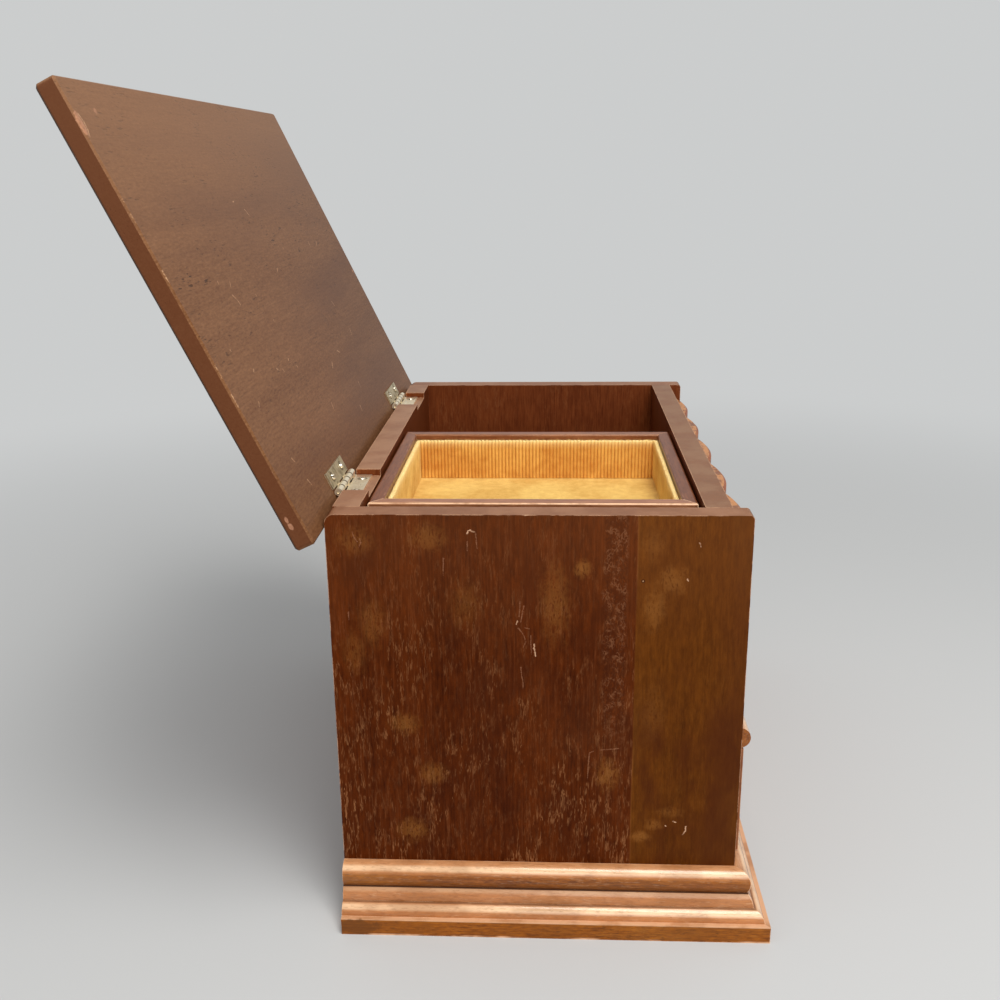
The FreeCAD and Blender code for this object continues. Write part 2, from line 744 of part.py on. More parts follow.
# Drawer
front = body_named("drawer_front")
face = sketch_on(front, ACROSS, "face")
FRONT_HALF = f"({INNER} - drawer_gap)"
rectangle(face, f"-{FRONT_HALF}", "base_tall + drawer_under", FRONT_HALF, f"{LEDGE_UNDER} - drawer_over")
pad(front, face, "drawer_thick", flip=True)
groove = sketch_on(front, SIDEWAYS, "groove")
rectangle(
    groove, "drawer_thick - box_groove", f"{BOX_FOOT} + box_raise",
    "drawer_thick + 1", f"{BOX_FOOT} + box_raise + box_bottom",
)
GROOVE_HALF = f"({BOX_HALF} - box_side + box_groove)"
slot = front.newObject("PartDesign::Pocket", "Slot")
slot.Profile = groove
bind(slot, Length=f"2 * {GROOVE_HALF}")
slot.Midplane = True
doc.recompute()
laps = sketch_on(front, FLAT, "laps")
for end, start in (("-1", f"-{FRONT_HALF} - 1"), ("1", f"{BOX_HALF} - box_side")):
    rectangle(
        laps, start, "drawer_thick - box_lap",
        f"{start} + {FRONT_HALF} + 1 - {BOX_HALF} + box_side", "drawer_thick + 1",
    )
pocket(front, laps)
hole = sketch_on(front, ACROSS, "bolt_hole")
circle(hole, "0", KNOB_LEVEL, "bolt_shank")
pocket(front, hole)
place(front, y=DRAWER_FACE)
piece(front, "drawer_front")

side = body_named("drawer_side_left")
section = sketch_on(side, ACROSS, "section")
outline(section, [
    ("0", "0", "line"),
    ("box_side", "0", "line"),
    ("box_side", "box_raise", "line"),
    ("box_side - box_groove", "box_raise", "line"),
    ("box_side - box_groove", "box_raise + box_bottom", "line"),
    ("box_side", "box_raise + box_bottom", "line"),
    ("box_side", "box_tall", "line"),
    ("0", "box_tall", "line"),
])
pad(side, section, f"{BOX_BACK} - {DRAWER_REAR} + box_lap", flip=True)
place(side, f"-{BOX_HALF}", f"{DRAWER_REAR} - box_lap", BOX_FOOT)
piece(side, "drawer_side_left")
mirrored(side, "drawer_side_right")

piece(block(
    "drawer_back",
    f"box_side - {BOX_HALF}", f"{BOX_BACK} - box_side", f"{BOX_FOOT} + box_raise + box_bottom",
    f"2 * ({BOX_HALF} - box_side)", "box_side", "box_tall - box_raise - box_bottom",
), "drawer_back")
piece(block(
    "drawer_bottom",
    f"-{GROOVE_HALF}", f"{DRAWER_REAR} - box_groove", f"{BOX_FOOT} + box_raise",
    f"2 * {GROOVE_HALF}", f"{BOX_BACK} - {DRAWER_REAR} + box_groove", "box_bottom",
), "drawer_bottom")
piece(block(
    "drawer_lining",
    f"box_side - {BOX_HALF}", DRAWER_REAR, f"{BOX_FOOT} + box_raise + box_bottom",
    f"2 * ({BOX_HALF} - box_side)", f"{BOX_BACK} - box_side - {DRAWER_REAR}", "box_lining",
), "drawer_lining")

# Knob: turned, with a neck that stands on the drawer front and a wide head bevelled at its face.
# Its outline is drawn with the distance out of the drawer on the vertical.
knob = body_named("drawer_knob")
turning = sketch_on(knob, ACROSS, "turning")
outline(turning, [
    ("bolt_shank", "0", "line"),
    ("knob_neck", "0", "line"),
    ("knob_neck", "knob_neck_long", "line"),
    ("knob_round", "knob_neck_long", "line"),
    ("knob_round", "knob_long - knob_bevel", "line"),
    ("knob_round - knob_bevel", "knob_long", "line"),
    ("0", "knob_long", "line"),
    ("0", "bolt_bite", "line"),
    ("bolt_shank", "bolt_bite", "line"),
])
turned = knob.newObject("PartDesign::Revolution", "Turned")
turned.Profile = turning
turned.ReferenceAxis = (turning, ["V_Axis"])
turned.Angle = 360
doc.recompute()
place(knob, "0", DRAWER_FACE, KNOB_LEVEL, axis=Vector(1, 0, 0), angle="90")
piece(knob, "drawer_knob")

bolt_head = doc.addObject("Part::Cylinder", "bolt_head_part")
bind(bolt_head, Radius="bolt_head", Height="bolt_cap")
bolt_shank = doc.addObject("Part::Cylinder", "bolt_shank_part")
bind(bolt_shank, Radius="bolt_shank", Height="bolt_cap + drawer_thick + bolt_bite")
bolt = doc.addObject("Part::Fuse", "knob_screw")
bolt.Base = bolt_head
bolt.Tool = bolt_shank
place(bolt, "0", f"{DRAWER_REAR} + bolt_cap", KNOB_LEVEL, axis=Vector(1, 0, 0), angle="90")
piece(bolt, "knob_screw")

# Check every object, then write one file for each piece.
doc.recompute()
failed = [
    thing.Label for thing in doc.Objects
    if "Invalid" in thing.State or "Error" in thing.State
]
if failed:
    raise RuntimeError("These did not build: " + ", ".join(failed))
os.makedirs("parts", exist_ok=True)
for thing in PIECES:
    shape = thing.Shape
    if shape.isNull() or not shape.isValid() or not shape.Solids:
        raise RuntimeError(f"{thing.Label} has no sound shape")
for thing in PIECES:
    thing.Shape.exportStep(f"parts/{thing.Label}.step")
print(f"{len(PIECES)} pieces")
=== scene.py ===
# %% [markdown]
# # A worn wooden jewelry chest, dressed in Blender
#
# The solids of the chest come packed and in place: case, lid, tray and drawer. This lesson gives
# them their looks, one step at a time. It starts by loading the solids, because every later piece
# takes its place from them.

import json
import math

import bmesh
import bpy
from mathutils import Matrix, Vector


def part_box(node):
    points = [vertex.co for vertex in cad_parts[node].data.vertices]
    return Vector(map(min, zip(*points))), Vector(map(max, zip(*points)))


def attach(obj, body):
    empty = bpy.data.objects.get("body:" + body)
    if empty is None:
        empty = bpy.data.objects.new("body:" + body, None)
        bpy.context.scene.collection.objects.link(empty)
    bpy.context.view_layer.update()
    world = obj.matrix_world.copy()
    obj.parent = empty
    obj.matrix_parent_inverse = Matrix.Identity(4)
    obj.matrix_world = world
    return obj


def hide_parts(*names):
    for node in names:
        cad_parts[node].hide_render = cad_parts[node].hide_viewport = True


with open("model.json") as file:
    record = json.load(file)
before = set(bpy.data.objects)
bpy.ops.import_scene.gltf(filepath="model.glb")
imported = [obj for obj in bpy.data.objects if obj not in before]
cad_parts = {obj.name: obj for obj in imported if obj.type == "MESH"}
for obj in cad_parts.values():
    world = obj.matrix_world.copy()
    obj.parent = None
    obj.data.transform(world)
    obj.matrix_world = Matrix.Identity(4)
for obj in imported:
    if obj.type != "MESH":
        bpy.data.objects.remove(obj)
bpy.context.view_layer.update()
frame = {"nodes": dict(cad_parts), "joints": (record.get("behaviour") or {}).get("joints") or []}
nodes = frame["nodes"]

# %% [markdown]
# ## The camera
#
# The photograph looks at the left end of the chest, a little from above, so the lid stands up on
# the left and the reeded front is seen edge-on at the right. The place and the turn of the camera
# were solved from the outline of the case, the lid and the base. They are written here as a
# place, a yaw, a pitch and a small roll, which say more to a reader than a bare matrix.

# %% Place the camera
PICTURE = 1000
FOCAL_PIXELS = 1102.18
SENSOR = 36.0


def aim_camera(place, yaw, pitch, roll):
    """A camera at a place that looks along +X, turned left by yaw, down by pitch and rolled."""
    ahead = Vector((math.cos(yaw) * math.cos(pitch), math.sin(yaw) * math.cos(pitch), -math.sin(pitch)))
    right = ahead.cross(Vector((0, 0, 1))).normalized()
    down = ahead.cross(right)
    level, fall = math.cos(roll), math.sin(roll)
    right, down = right * level + down * fall, down * level - right * fall
    lens = bpy.data.cameras.new("camera")
    lens.sensor_width = SENSOR
    lens.lens = FOCAL_PIXELS * SENSOR / PICTURE
    lens.clip_start = 0.02
    camera = bpy.data.objects.new("camera", lens)
    turn = Matrix((right, -down, -ahead)).transposed().to_4x4()
    camera.matrix_world = Matrix.Translation(place) @ turn
    bpy.context.scene.collection.objects.link(camera)
    bpy.context.scene.camera = camera
    return camera


camera = aim_camera(Vector((-0.64994, 0.00091, 0.37565)), yaw=0.0506, pitch=0.2956, roll=0.0118)
print("camera at", [round(v, 3) for v in camera.matrix_world.translation], "lens", round(camera.data.lens, 2))

# %% [markdown]
# ## Small helpers for shader trees
#
# A material is a tree of nodes. Adding a node, setting its values and linking it are the same few
# lines each time, so they are written once. `feed` takes either a socket or a plain value, so a
# number and a pattern can stand in the same place. Sums and products have a function each,
# because a shader's formulas are then short enough to read.

# %% Helpers for nodes and numbers


def feed(tree, socket, source):
    """Put a value into a socket, or link another socket to it."""
    if hasattr(source, "is_output"):
        tree.links.new(source, socket)
    elif isinstance(source, (tuple, list)) and len(source) == 3 and socket.type == "RGBA":
        socket.default_value = (*source, 1.0)
    else:
        socket.default_value = source


def node(tree, kind, inputs=None, **settings):
    """A node with its settings and its inputs, by name or number."""
    made = tree.nodes.new(kind)
    for name, setting in settings.items():
        setattr(made, name, setting)
    for name, source in (inputs or {}).items():
        feed(tree, made.inputs[name], source)
    return made


def maths(tree, operation, a, b=0.0):
    return node(tree, "ShaderNodeMath", {0: a, 1: b}, operation=operation).outputs[0]


def in_turn(tree, operation, first, rest):
    """The sum, product or greatest of several values, taken one after another."""
    for one in rest:
        first = maths(tree, operation, first, one)
    return first


def plus(tree, first, *rest):
    return in_turn(tree, "ADD", first, rest)


def times(tree, first, *rest):
    return in_turn(tree, "MULTIPLY", first, rest)


def most(tree, first, *rest):
    return in_turn(tree, "MAXIMUM", first, rest)


def minus(tree, a, b):
    return maths(tree, "SUBTRACT", a, b)


def absolute(tree, a):
    return maths(tree, "ABSOLUTE", a)


def apart(tree, a, b):
    """How far two values lie apart."""
    return absolute(tree, minus(tree, a, b))


def clamped(tree, a):
    return node(tree, "ShaderNodeClamp", {"Value": a}).outputs[0]


def remap(tree, source, low, high, to_low=0.0, to_high=1.0):
    """Stretch a range of values to another, clamped, with soft ends."""
    ends = {"Value": source, 1: low, 2: high, 3: to_low, 4: to_high}
    return node(tree, "ShaderNodeMapRange", ends, interpolation_type="SMOOTHSTEP").outputs[0]


print("helpers for numbers ready")

# %% Helpers for places, noises and colours


def parts(tree, where):
    return node(tree, "ShaderNodeSeparateXYZ", {0: where}).outputs


def along_z(tree, height):
    return node(tree, "ShaderNodeCombineXYZ", {"Z": height}).outputs[0]


def vector(tree, operation, a, b=(0.0, 0.0, 0.0)):
    return node(tree, "ShaderNodeVectorMath", {0: a, 1: b}, operation=operation).outputs["Vector"]


def measure(tree, operation, a, b=(0.0, 0.0, 0.0)):
    """One number from vectors: the length of one, or the distance or dot product of two."""
    return node(tree, "ShaderNodeVectorMath", {0: a, 1: b}, operation=operation).outputs["Value"]


def scaled(tree, a, share):
    return node(tree, "ShaderNodeVectorMath", {0: a, "Scale": share}, operation="SCALE").outputs["Vector"]


def stretch(tree, where, scale=(1.0, 1.0, 1.0), turn=(0.0, 0.0, 0.0), shift=(0.0, 0.0, 0.0)):
    changes = {"Vector": where, "Location": shift, "Rotation": turn, "Scale": scale}
    return node(tree, "ShaderNodeMapping", changes).outputs["Vector"]


def noise(tree, where, scale, detail=3.0, rough=0.5, distortion=0.0, flow=None, shift=(0.0, 0.0, 0.0)):
    """A noise. A flow under one draws it out along the third axis, and a shift reads it elsewhere."""
    if flow is not None:
        where = stretch(tree, where, (1.0, 1.0, flow), shift=shift)
    sizes = {"Vector": where, "Scale": scale, "Detail": detail, "Roughness": rough, "Distortion": distortion}
    return node(tree, "ShaderNodeTexNoise", sizes).outputs["Fac"]


def centred(tree, source, amount):
    """A noise moved to swing about nought, times an amount."""
    return times(tree, minus(tree, source, 0.5), amount)


def srgb(red, green, blue):
    """A colour as a picture editor shows it, turned to the linear values that shaders use."""
    shares = (value / 255 for value in (red, green, blue))
    return tuple(v / 12.92 if v <= 10 / 255 else ((v + 0.055) / 1.055) ** 2.4 for v in shares)


def blend(tree, amount, a, b):
    return node(tree, "ShaderNodeMix", {0: amount, 6: a, 7: b}, data_type="RGBA").outputs[2]


def stain(tree, colour, mask, shade, strength=1.0):
    """Lay a shade, as a picture editor shows it, over a colour where a mask is one."""
    if strength != 1.0:
        mask = times(tree, mask, strength)
    return blend(tree, mask, colour, srgb(*shade))


print("helpers for places, noises and colours ready")

# %% Helpers for node groups


def shader_group(name, inputs, outputs):
    """An empty node group with named sockets. Each input is (name, kind, value)."""
    tree = bpy.data.node_groups.new(name, "ShaderNodeTree")
    kinds = {"value": "NodeSocketFloat", "colour": "NodeSocketColor", "vector": "NodeSocketVector"}
    for label, kind, start in inputs:
        socket = tree.interface.new_socket(label, in_out="INPUT", socket_type=kinds[kind])
        if start is not None:
            socket.default_value = (*start, 1.0) if kind == "colour" else start
    for label, kind in outputs:
        tree.interface.new_socket(label, in_out="OUTPUT", socket_type=kinds[kind])
    return tree, tree.nodes.new("NodeGroupInput").outputs, tree.nodes.new("NodeGroupOutput").inputs


def use_group(tree, group, **inputs):
    made = tree.nodes.new("ShaderNodeGroup")
    made.node_tree = group
    for name, source in inputs.items():
        feed(tree, made.inputs[name.replace("_", " ")], source)
    return made.outputs


print("helpers for node groups ready")

# %% [markdown]
# ## The grain of the wood, as one node group
#
# Every board of the chest is a mahogany-like wood under a thin stain. Up close it shows broad
# soft bands, fine fibres, dark pores, thin pale curls where the figure of the wood comes through,
# and patches where the stain is rubbed. All of them run along the grain, so the group takes a
# place whose third axis lies along the grain and squeezes its noises across it. The pale curls
# are made from the level lines of a noise, which gives thin strokes that bend and break as real
# ones do. A plain threshold would give fat flecks instead.

# %% The grain group
GRAIN, grain_in, grain_out = shader_group(
    "wood grain",
    [
        ("Place", "vector", None), ("Dark", "colour", (0.1, 0.03, 0.01)),
        ("Light", "colour", (0.2, 0.08, 0.03)), ("Worn", "colour", (0.4, 0.2, 0.07)),
        ("Bands", "value", 0.6), ("Band Size", "value", 40.0), ("Fibres", "value", 0.8),
        ("Strokes", "value", 0.3), ("Pores", "value", 0.4), ("Pore Squeeze", "value", 0.13),
        ("Pore Scale", "value", 1500.0), ("Mottle", "value", 0.35), ("Mottle Scale", "value", 330.0),
        ("Rubbed", "value", 0.2),
    ],
    [("Color", "colour"), ("Height", "value"), ("Wear", "value")],
)
PORE_COLOUR = (0.024, 0.008, 0.0025)


def curls(tree, where, scale, along, thin, thick):
    """Thin strokes on the level lines of a noise, drawn out along the grain."""
    field = noise(tree, where, scale, 2.0, 0.55, 0.5, flow=along)
    offset = apart(tree, field, 0.5)
    return remap(tree, offset, thick, thin)


def build_grain(tree, given, result):
    place = given["Place"]
    bands = noise(tree, place, given["Band Size"], 4.0, 0.55, 0.6, flow=0.07)
    fibres = noise(tree, place, 1100.0, 3.0, 0.6, flow=0.06)
    mottle = noise(tree, place, given["Mottle Scale"], 4.0, 0.65, flow=0.3, shift=(5.5, 0.8, 3.4))
    tone = plus(tree, centred(tree, bands, given["Bands"]), centred(tree, fibres, given["Fibres"]))
    tone = plus(tree, tone, centred(tree, mottle, given["Mottle"]))
    tone = plus(tree, times(tree, tone, 1.7), 0.5)
    tone = clamped(tree, tone)
    colour = blend(tree, tone, given["Dark"], given["Light"])
    strokes = curls(tree, place, 1300.0, 0.1, 0.014, 0.07)
    broken = noise(tree, place, 560.0, 2.0, flow=0.24, shift=(1.3, 8.2, 0.7))
    broken = remap(tree, broken, 0.47, 0.58)
    patches = noise(tree, place, 55.0, 4.0, 0.6, flow=0.5, shift=(3.1, 1.7, 0.4))
    patches = remap(tree, patches, 0.4, 0.66, 0.2, 1.0)
    crowding = times(tree, patches, given["Strokes"])
    strokes = times(tree, strokes, broken, crowding)
    squeezed = node(tree, "ShaderNodeCombineXYZ", {"X": 1.0, "Y": 1.0, "Z": given["Pore Squeeze"]}).outputs[0]
    holes = noise(tree, vector(tree, "MULTIPLY", place, squeezed), given["Pore Scale"], 1.0, 0.5)
    groups = noise(tree, place, 75.0, 3.0, 0.6, flow=0.45, shift=(7.7, 2.1, 6.0))
    groups = remap(tree, groups, 0.46, 0.62, 0.2, 1.0)
    holes = times(tree, remap(tree, holes, 0.6, 0.72), groups, given["Pores"])
    rubbed = noise(tree, place, 21.0, 5.0, 0.62, 0.3, flow=0.42, shift=(11.0, 5.3, 2.2))
    rubbed = times(tree, remap(tree, rubbed, 0.52, 0.8), given["Rubbed"])
    wear = clamped(tree, plus(tree, strokes, rubbed))
    colour = blend(tree, wear, colour, given["Worn"])
    colour = blend(tree, times(tree, holes, 0.7), colour, PORE_COLOUR)
    feed(tree, result["Color"], colour)
    height = minus(tree, times(tree, fibres, 0.35), times(tree, holes, 0.8))
    feed(tree, result["Height"], height)
    feed(tree, result["Wear"], wear)


build_grain(GRAIN, grain_in, grain_out)
print("grain group:", len(GRAIN.nodes), "nodes")

# %% [markdown]
# ## Worn edges, scratches and soft spots, as three more groups
#
# Handling rubs the stain off the arrises first, so they show as thin pale lines that come and go.
# The Bevel node looks a set distance round each point: where its normal leaves the surface's own,
# an edge is near. A scratch is the set of points close to a short line, and a soft spot is the
# set of points close to a centre. Both take their places in metres on the piece, so a mark stays
# where it is when the piece moves. Noise breaks all three up, because real wear is never even.

# %% The edge-wear group
EDGES, edge_in, edge_out = shader_group(
    "edge wear",
    [("Place", "vector", None), ("Width", "value", 0.0012), ("Amount", "value", 0.6),
     ("Break Up", "value", 90.0)],
    [("Mask", "value")],
)


def build_edges(tree, given, result):
    near = node(tree, "ShaderNodeBevel", {"Radius": given["Width"]}, samples=6).outputs[0]
    own = node(tree, "ShaderNodeNewGeometry").outputs["Normal"]
    edge = remap(tree, measure(tree, "DOT_PRODUCT", near, own), 0.985, 0.86)
    low = minus(tree, 0.78, times(tree, given["Amount"], 0.5))
    patchy = noise(tree, given["Place"], given["Break Up"], 4.0, 0.65)
    patchy = remap(tree, patchy, low, plus(tree, low, 0.12))
    feed(tree, result["Mask"], times(tree, edge, patchy))


build_edges(EDGES, edge_in, edge_out)
print("edge group:", len(EDGES.nodes), "nodes")

# %% The scratch group and the soft-spot group
SCRATCH, scratch_in, scratch_out = shader_group(
    "scratch", [("Place", "vector", None), ("Start", "vector", None), ("End", "vector", None),
                ("Width", "value", 0.0004)],
    [("Mask", "value")],
)
SPOT, spot_in, spot_out = shader_group(
    "soft spot", [("Place", "vector", None), ("Center", "vector", None),
                  ("Size", "vector", (0.01, 0.01, 0.01))],
    [("Mask", "value")],
)


def build_scratch(tree, given, result):
    reach = vector(tree, "SUBTRACT", given["End"], given["Start"])
    away = vector(tree, "SUBTRACT", given["Place"], given["Start"])
    along = measure(tree, "DOT_PRODUCT", away, reach)
    whole = measure(tree, "DOT_PRODUCT", reach, reach)
    share = clamped(tree, maths(tree, "DIVIDE", along, whole))
    nearest = scaled(tree, reach, share)
    gap = measure(tree, "LENGTH", vector(tree, "SUBTRACT", away, nearest))
    ragged = centred(tree, noise(tree, given["Place"], 1300.0, 3.0, 0.6), given["Width"])
    gap = plus(tree, gap, times(tree, ragged, 2.6))
    taper = minus(tree, 1.15, times(tree, share, 0.6))
    gap = maths(tree, "DIVIDE", gap, times(tree, taper, given["Width"]))
    broken = remap(tree, noise(tree, given["Place"], 380.0, 3.0), 0.34, 0.5, 0.45, 1.0)
    feed(tree, result["Mask"], times(tree, remap(tree, gap, 1.1, 0.1), broken))


def build_spot(tree, given, result):
    away = vector(tree, "DIVIDE", vector(tree, "SUBTRACT", given["Place"], given["Center"]), given["Size"])
    far = measure(tree, "LENGTH", away)
    far = plus(tree, far, centred(tree, noise(tree, given["Place"], 240.0, 5.0, 0.65), 1.3))
    feed(tree, result["Mask"], remap(tree, far, 1.1, 0.1))


build_scratch(SCRATCH, scratch_in, scratch_out)
build_spot(SPOT, spot_in, spot_out)
print("mark groups:", SCRATCH.name, SPOT.name)

# %% [markdown]
# ## A wooden finish from the groups
#
# One function turns a few values into a material: which way the grain runs, the stain's colours,
# and how much each kind of wear shows. The stain colours are written as a picture editor shows
# them, because that is how they were compared with the photograph. The varnish is thin and old,
# so its specular level is low and slightly warm. These are plain values on the shader's own
# sockets, because they are the same all over a board. Faces that look up are painted greyer: a
# painted sheen, the room's light reflected on their satin finish. Their mask comes from the
# piece's own normal, so it stays right when a piece moves.

# %% Places, marks and varnish
ALONG = {"x": (0.0, math.pi / 2, 0.0), "y": (math.pi / 2, 0.0, 0.0), "z": (0.0, 0.0, 0.0)}
MILLIMETRE = 0.001
UPWARD = (0.72, 0.95)


def own_place(tree):
    return node(tree, "ShaderNodeTexCoord").outputs["Object"]


def own_normal(tree):
    """The three parts of the surface's direction, in the piece's own frame."""
    return parts(tree, node(tree, "ShaderNodeTexCoord").outputs["Normal"])


def faces_up(tree):
    """A mask of the faces that look up, as the piece lies at rest."""
    return remap(tree, own_normal(tree)["Z"], *UPWARD)


def lines_mask(tree, place, lines, width):
    """Scratches, each a run of points on the piece in metres, as one mask."""
    total = 0.0
    for line in lines:
        for start, end in zip(line, line[1:]):
            one = use_group(tree, SCRATCH, Place=place, Start=start, End=end, Width=width)["Mask"]
            total = most(tree, total, one)
    return total


def spots_mask(tree, place, spots):
    """Soft spots, each a centre, a size and a strength, as one mask."""
    total = 0.0
    for center, size, strength in spots:
        one = use_group(tree, SPOT, Place=place, Center=center, Size=size)["Mask"]
        total = most(tree, total, times(tree, one, strength))
    return total


def blank_material(name):
    material = bpy.data.materials.new(name)
    material.use_nodes = True
    material.node_tree.nodes.clear()
    return material, material.node_tree


def end_material(tree, shader):
    node(tree, "ShaderNodeOutputMaterial", {0: shader.outputs[0]})


def varnish(tree, colour, wear, height, rough, level, coat=0.0, coat_rough=0.2, bump=0.00005,
            tint=(1.0, 0.75, 0.55)):
    """The shader of a stained and varnished board."""
    softness = plus(tree, rough, times(tree, wear, 0.12))
    relief = node(tree, "ShaderNodeBump", {"Strength": 1.0, "Distance": bump, "Height": height})
    shader = node(
        tree, "ShaderNodeBsdfPrincipled",
        {"Base Color": colour, "Roughness": softness, "Normal": relief.outputs[0],
         "Specular IOR Level": level, "Specular Tint": tint, "Coat Weight": coat,
         "Coat Roughness": coat_rough},
    )
    end_material(tree, shader)


print("marks and varnish ready")

# %% The wooden finish


def sheen_on_top(tree, place, top, colour):
    """The grey-brown of a board's top edge, a painted sheen of the room's light: in clouds, with a little of
    the grain left.
    """
    clouds = remap(tree, noise(tree, place, 55.0, 4.0, 0.6), 0.36, 0.64, 0.1, 0.42)
    specks = remap(tree, noise(tree, place, 1500.0, 3.0, 0.7), 0.42, 0.7, 0.0, 0.25)
    return blend(tree, most(tree, clouds, specks), top, colour)


def wooden(name, grain, dark, light, worn, shift=(0.0, 0.0, 0.0), rough=0.42, level=0.12, coat=0.0, edge=0.6,
           edge_width=0.0010, edge_colour=None, top=None, rubbed=None, touch_up=None, **amounts):
    """A board's finish. The amounts go to the grain group, and touch_up changes the colour last."""
    material, tree = blank_material(name)
    place = stretch(tree, own_place(tree), turn=ALONG[grain], shift=shift)
    grown = use_group(tree, GRAIN, Place=place, Dark=dark, Light=light, Worn=worn, **amounts)
    edges = use_group(tree, EDGES, Place=place, Width=edge_width, Amount=edge)
    colour = grown["Color"]
    if top:
        # Faces that look up take a painted sheen: the room's light reflected grey-brown.
        colour = blend(tree, faces_up(tree), colour, sheen_on_top(tree, place, top, colour))
    if rubbed:
        # A pale band on the rounded arrises that lean up: partly wear, partly a painted highlight on them.
        leaning = own_normal(tree)["Z"]
        lit_and_worn_arris = times(tree, remap(tree, leaning, 0.3, 0.6), remap(tree, leaning, 0.97, 0.88))
        broken = remap(tree, noise(tree, place, 90.0, 4.0, 0.6), 0.34, 0.56, 0.3, 0.85)
        colour = blend(tree, times(tree, lit_and_worn_arris, broken), colour, rubbed)
    if touch_up:
        colour = touch_up(tree, colour)
    colour = blend(tree, edges["Mask"], colour, edge_colour or worn)
    wear = plus(tree, grown["Wear"], edges["Mask"])
    varnish(tree, colour, wear, grown["Height"], rough, level, coat)
    return material


def dress(material, *names):
    """Give a finish to solids of the chest or to pieces made here."""
    for name in names:
        thing = nodes[name] if isinstance(name, str) else name
        thing.data.materials.clear()
        thing.data.materials.append(material)


# The grey-brown of the top edges, board by board, is a painted reflection of the room's light on the satin
# finish. The last colour is the wear on their arrises.
BOARD_TOP = srgb(156, 112, 84)
BACK_TOP = srgb(168, 127, 98)
FRONT_TOP = srgb(143, 107, 80)
TOP_WEAR = srgb(214, 168, 132)


def carcase_wood(name, top):
    return wooden(name, "z", srgb(84, 34, 13), srgb(124, 63, 30), srgb(156, 100, 60), top=top, edge=0.85,
                  edge_width=0.0007, edge_colour=TOP_WEAR, Bands=0.7, Mottle=0.6, Strokes=0.25,
                  Pores=0.3, Rubbed=0.15)


inner_wood = wooden("inner boards", "x", srgb(88, 42, 20), srgb(118, 64, 34), srgb(150, 92, 50), edge=0.2,
                    rough=0.55, Strokes=0.1, Pores=0.4, Rubbed=0.1)


def worn_ends(tree, colour):
    """The tops of the reeds: their stain is rubbed off in patches, towards the outside."""
    place = own_place(tree)
    outer = remap(tree, parts(tree, place)["Y"], -0.0855, -0.0895)
    patches = remap(tree, noise(tree, place, 150.0, 4.0, 0.6), 0.4, 0.56, 0.0, 0.9)
    return stain(tree, colour, times(tree, faces_up(tree), outer, patches), (200, 138, 86))


reed_wood = wooden("reeds of the front", "z", srgb(112, 52, 22), srgb(164, 88, 44), srgb(214, 150, 96),
                   top=srgb(136, 94, 68), shift=(0.3, 0.1, 0.2), edge=0.5, edge_width=0.0008,
                   edge_colour=srgb(190, 128, 86), level=0.25, touch_up=worn_ends, Bands=0.7, Strokes=0.3,
                   Pores=0.3, Rubbed=0.5)
tray_wood = wooden("tray side walls", "x", srgb(92, 44, 20), srgb(134, 78, 46), srgb(176, 122, 86),
                   rough=0.34, level=0.2, coat=0.1, edge=0.55, edge_width=0.0008,
                   edge_colour=srgb(204, 154, 118), Mottle=0.8, Strokes=0.2, Pores=0.5, Rubbed=0.25)
# The near end wall has a lighter finish than the other walls and strong pale lines on its arrises: partly
# wear, partly a painted highlight of the light on its rounded rim.
tray_end_wood = wooden("tray end walls", "y", srgb(124, 68, 38), srgb(172, 112, 74), srgb(214, 158, 116),
                       rough=0.32, level=0.25, coat=0.25, rubbed=srgb(252, 208, 166), edge=1.5,
                       edge_width=0.0012, edge_colour=srgb(250, 206, 166), Mottle=0.8, Strokes=0.2,
                       Pores=0.5, Rubbed=0.4)
dress(carcase_wood("right side board", BOARD_TOP), "side_panel_right")
dress(carcase_wood("back board", BACK_TOP), "back_panel")
dress(carcase_wood("front board", FRONT_TOP), "front_panel")
dress(inner_wood, "compartment_floor", "floor_cleat_left", "floor_cleat_right", "drawer_deck", "plinth_rail",
      "bottom_panel", "tray_runner_front", "tray_runner_back", "drawer_side_left", "drawer_side_right",
      "drawer_back", "drawer_bottom", "tray_bottom")
dress(reed_wood, *[f"front_reed_{number}" for number in range(1, 6)])
dress(tray_wood, "tray_side_front", "tray_side_back")
dress(tray_end_wood, "tray_end_left")
tray_far_wood = wooden("tray far end wall", "y", srgb(106, 56, 30), srgb(148, 92, 58), srgb(190, 134, 96),
                       rough=0.34, level=0.2, coat=0.12, edge=0.8, edge_width=0.0008,
                       edge_colour=srgb(214, 160, 120), Mottle=0.8, Strokes=0.2, Pores=0.5, Rubbed=0.25)
dress(tray_far_wood, "tray_end_right")
print("plain boards dressed:", len(bpy.data.materials), "finishes")
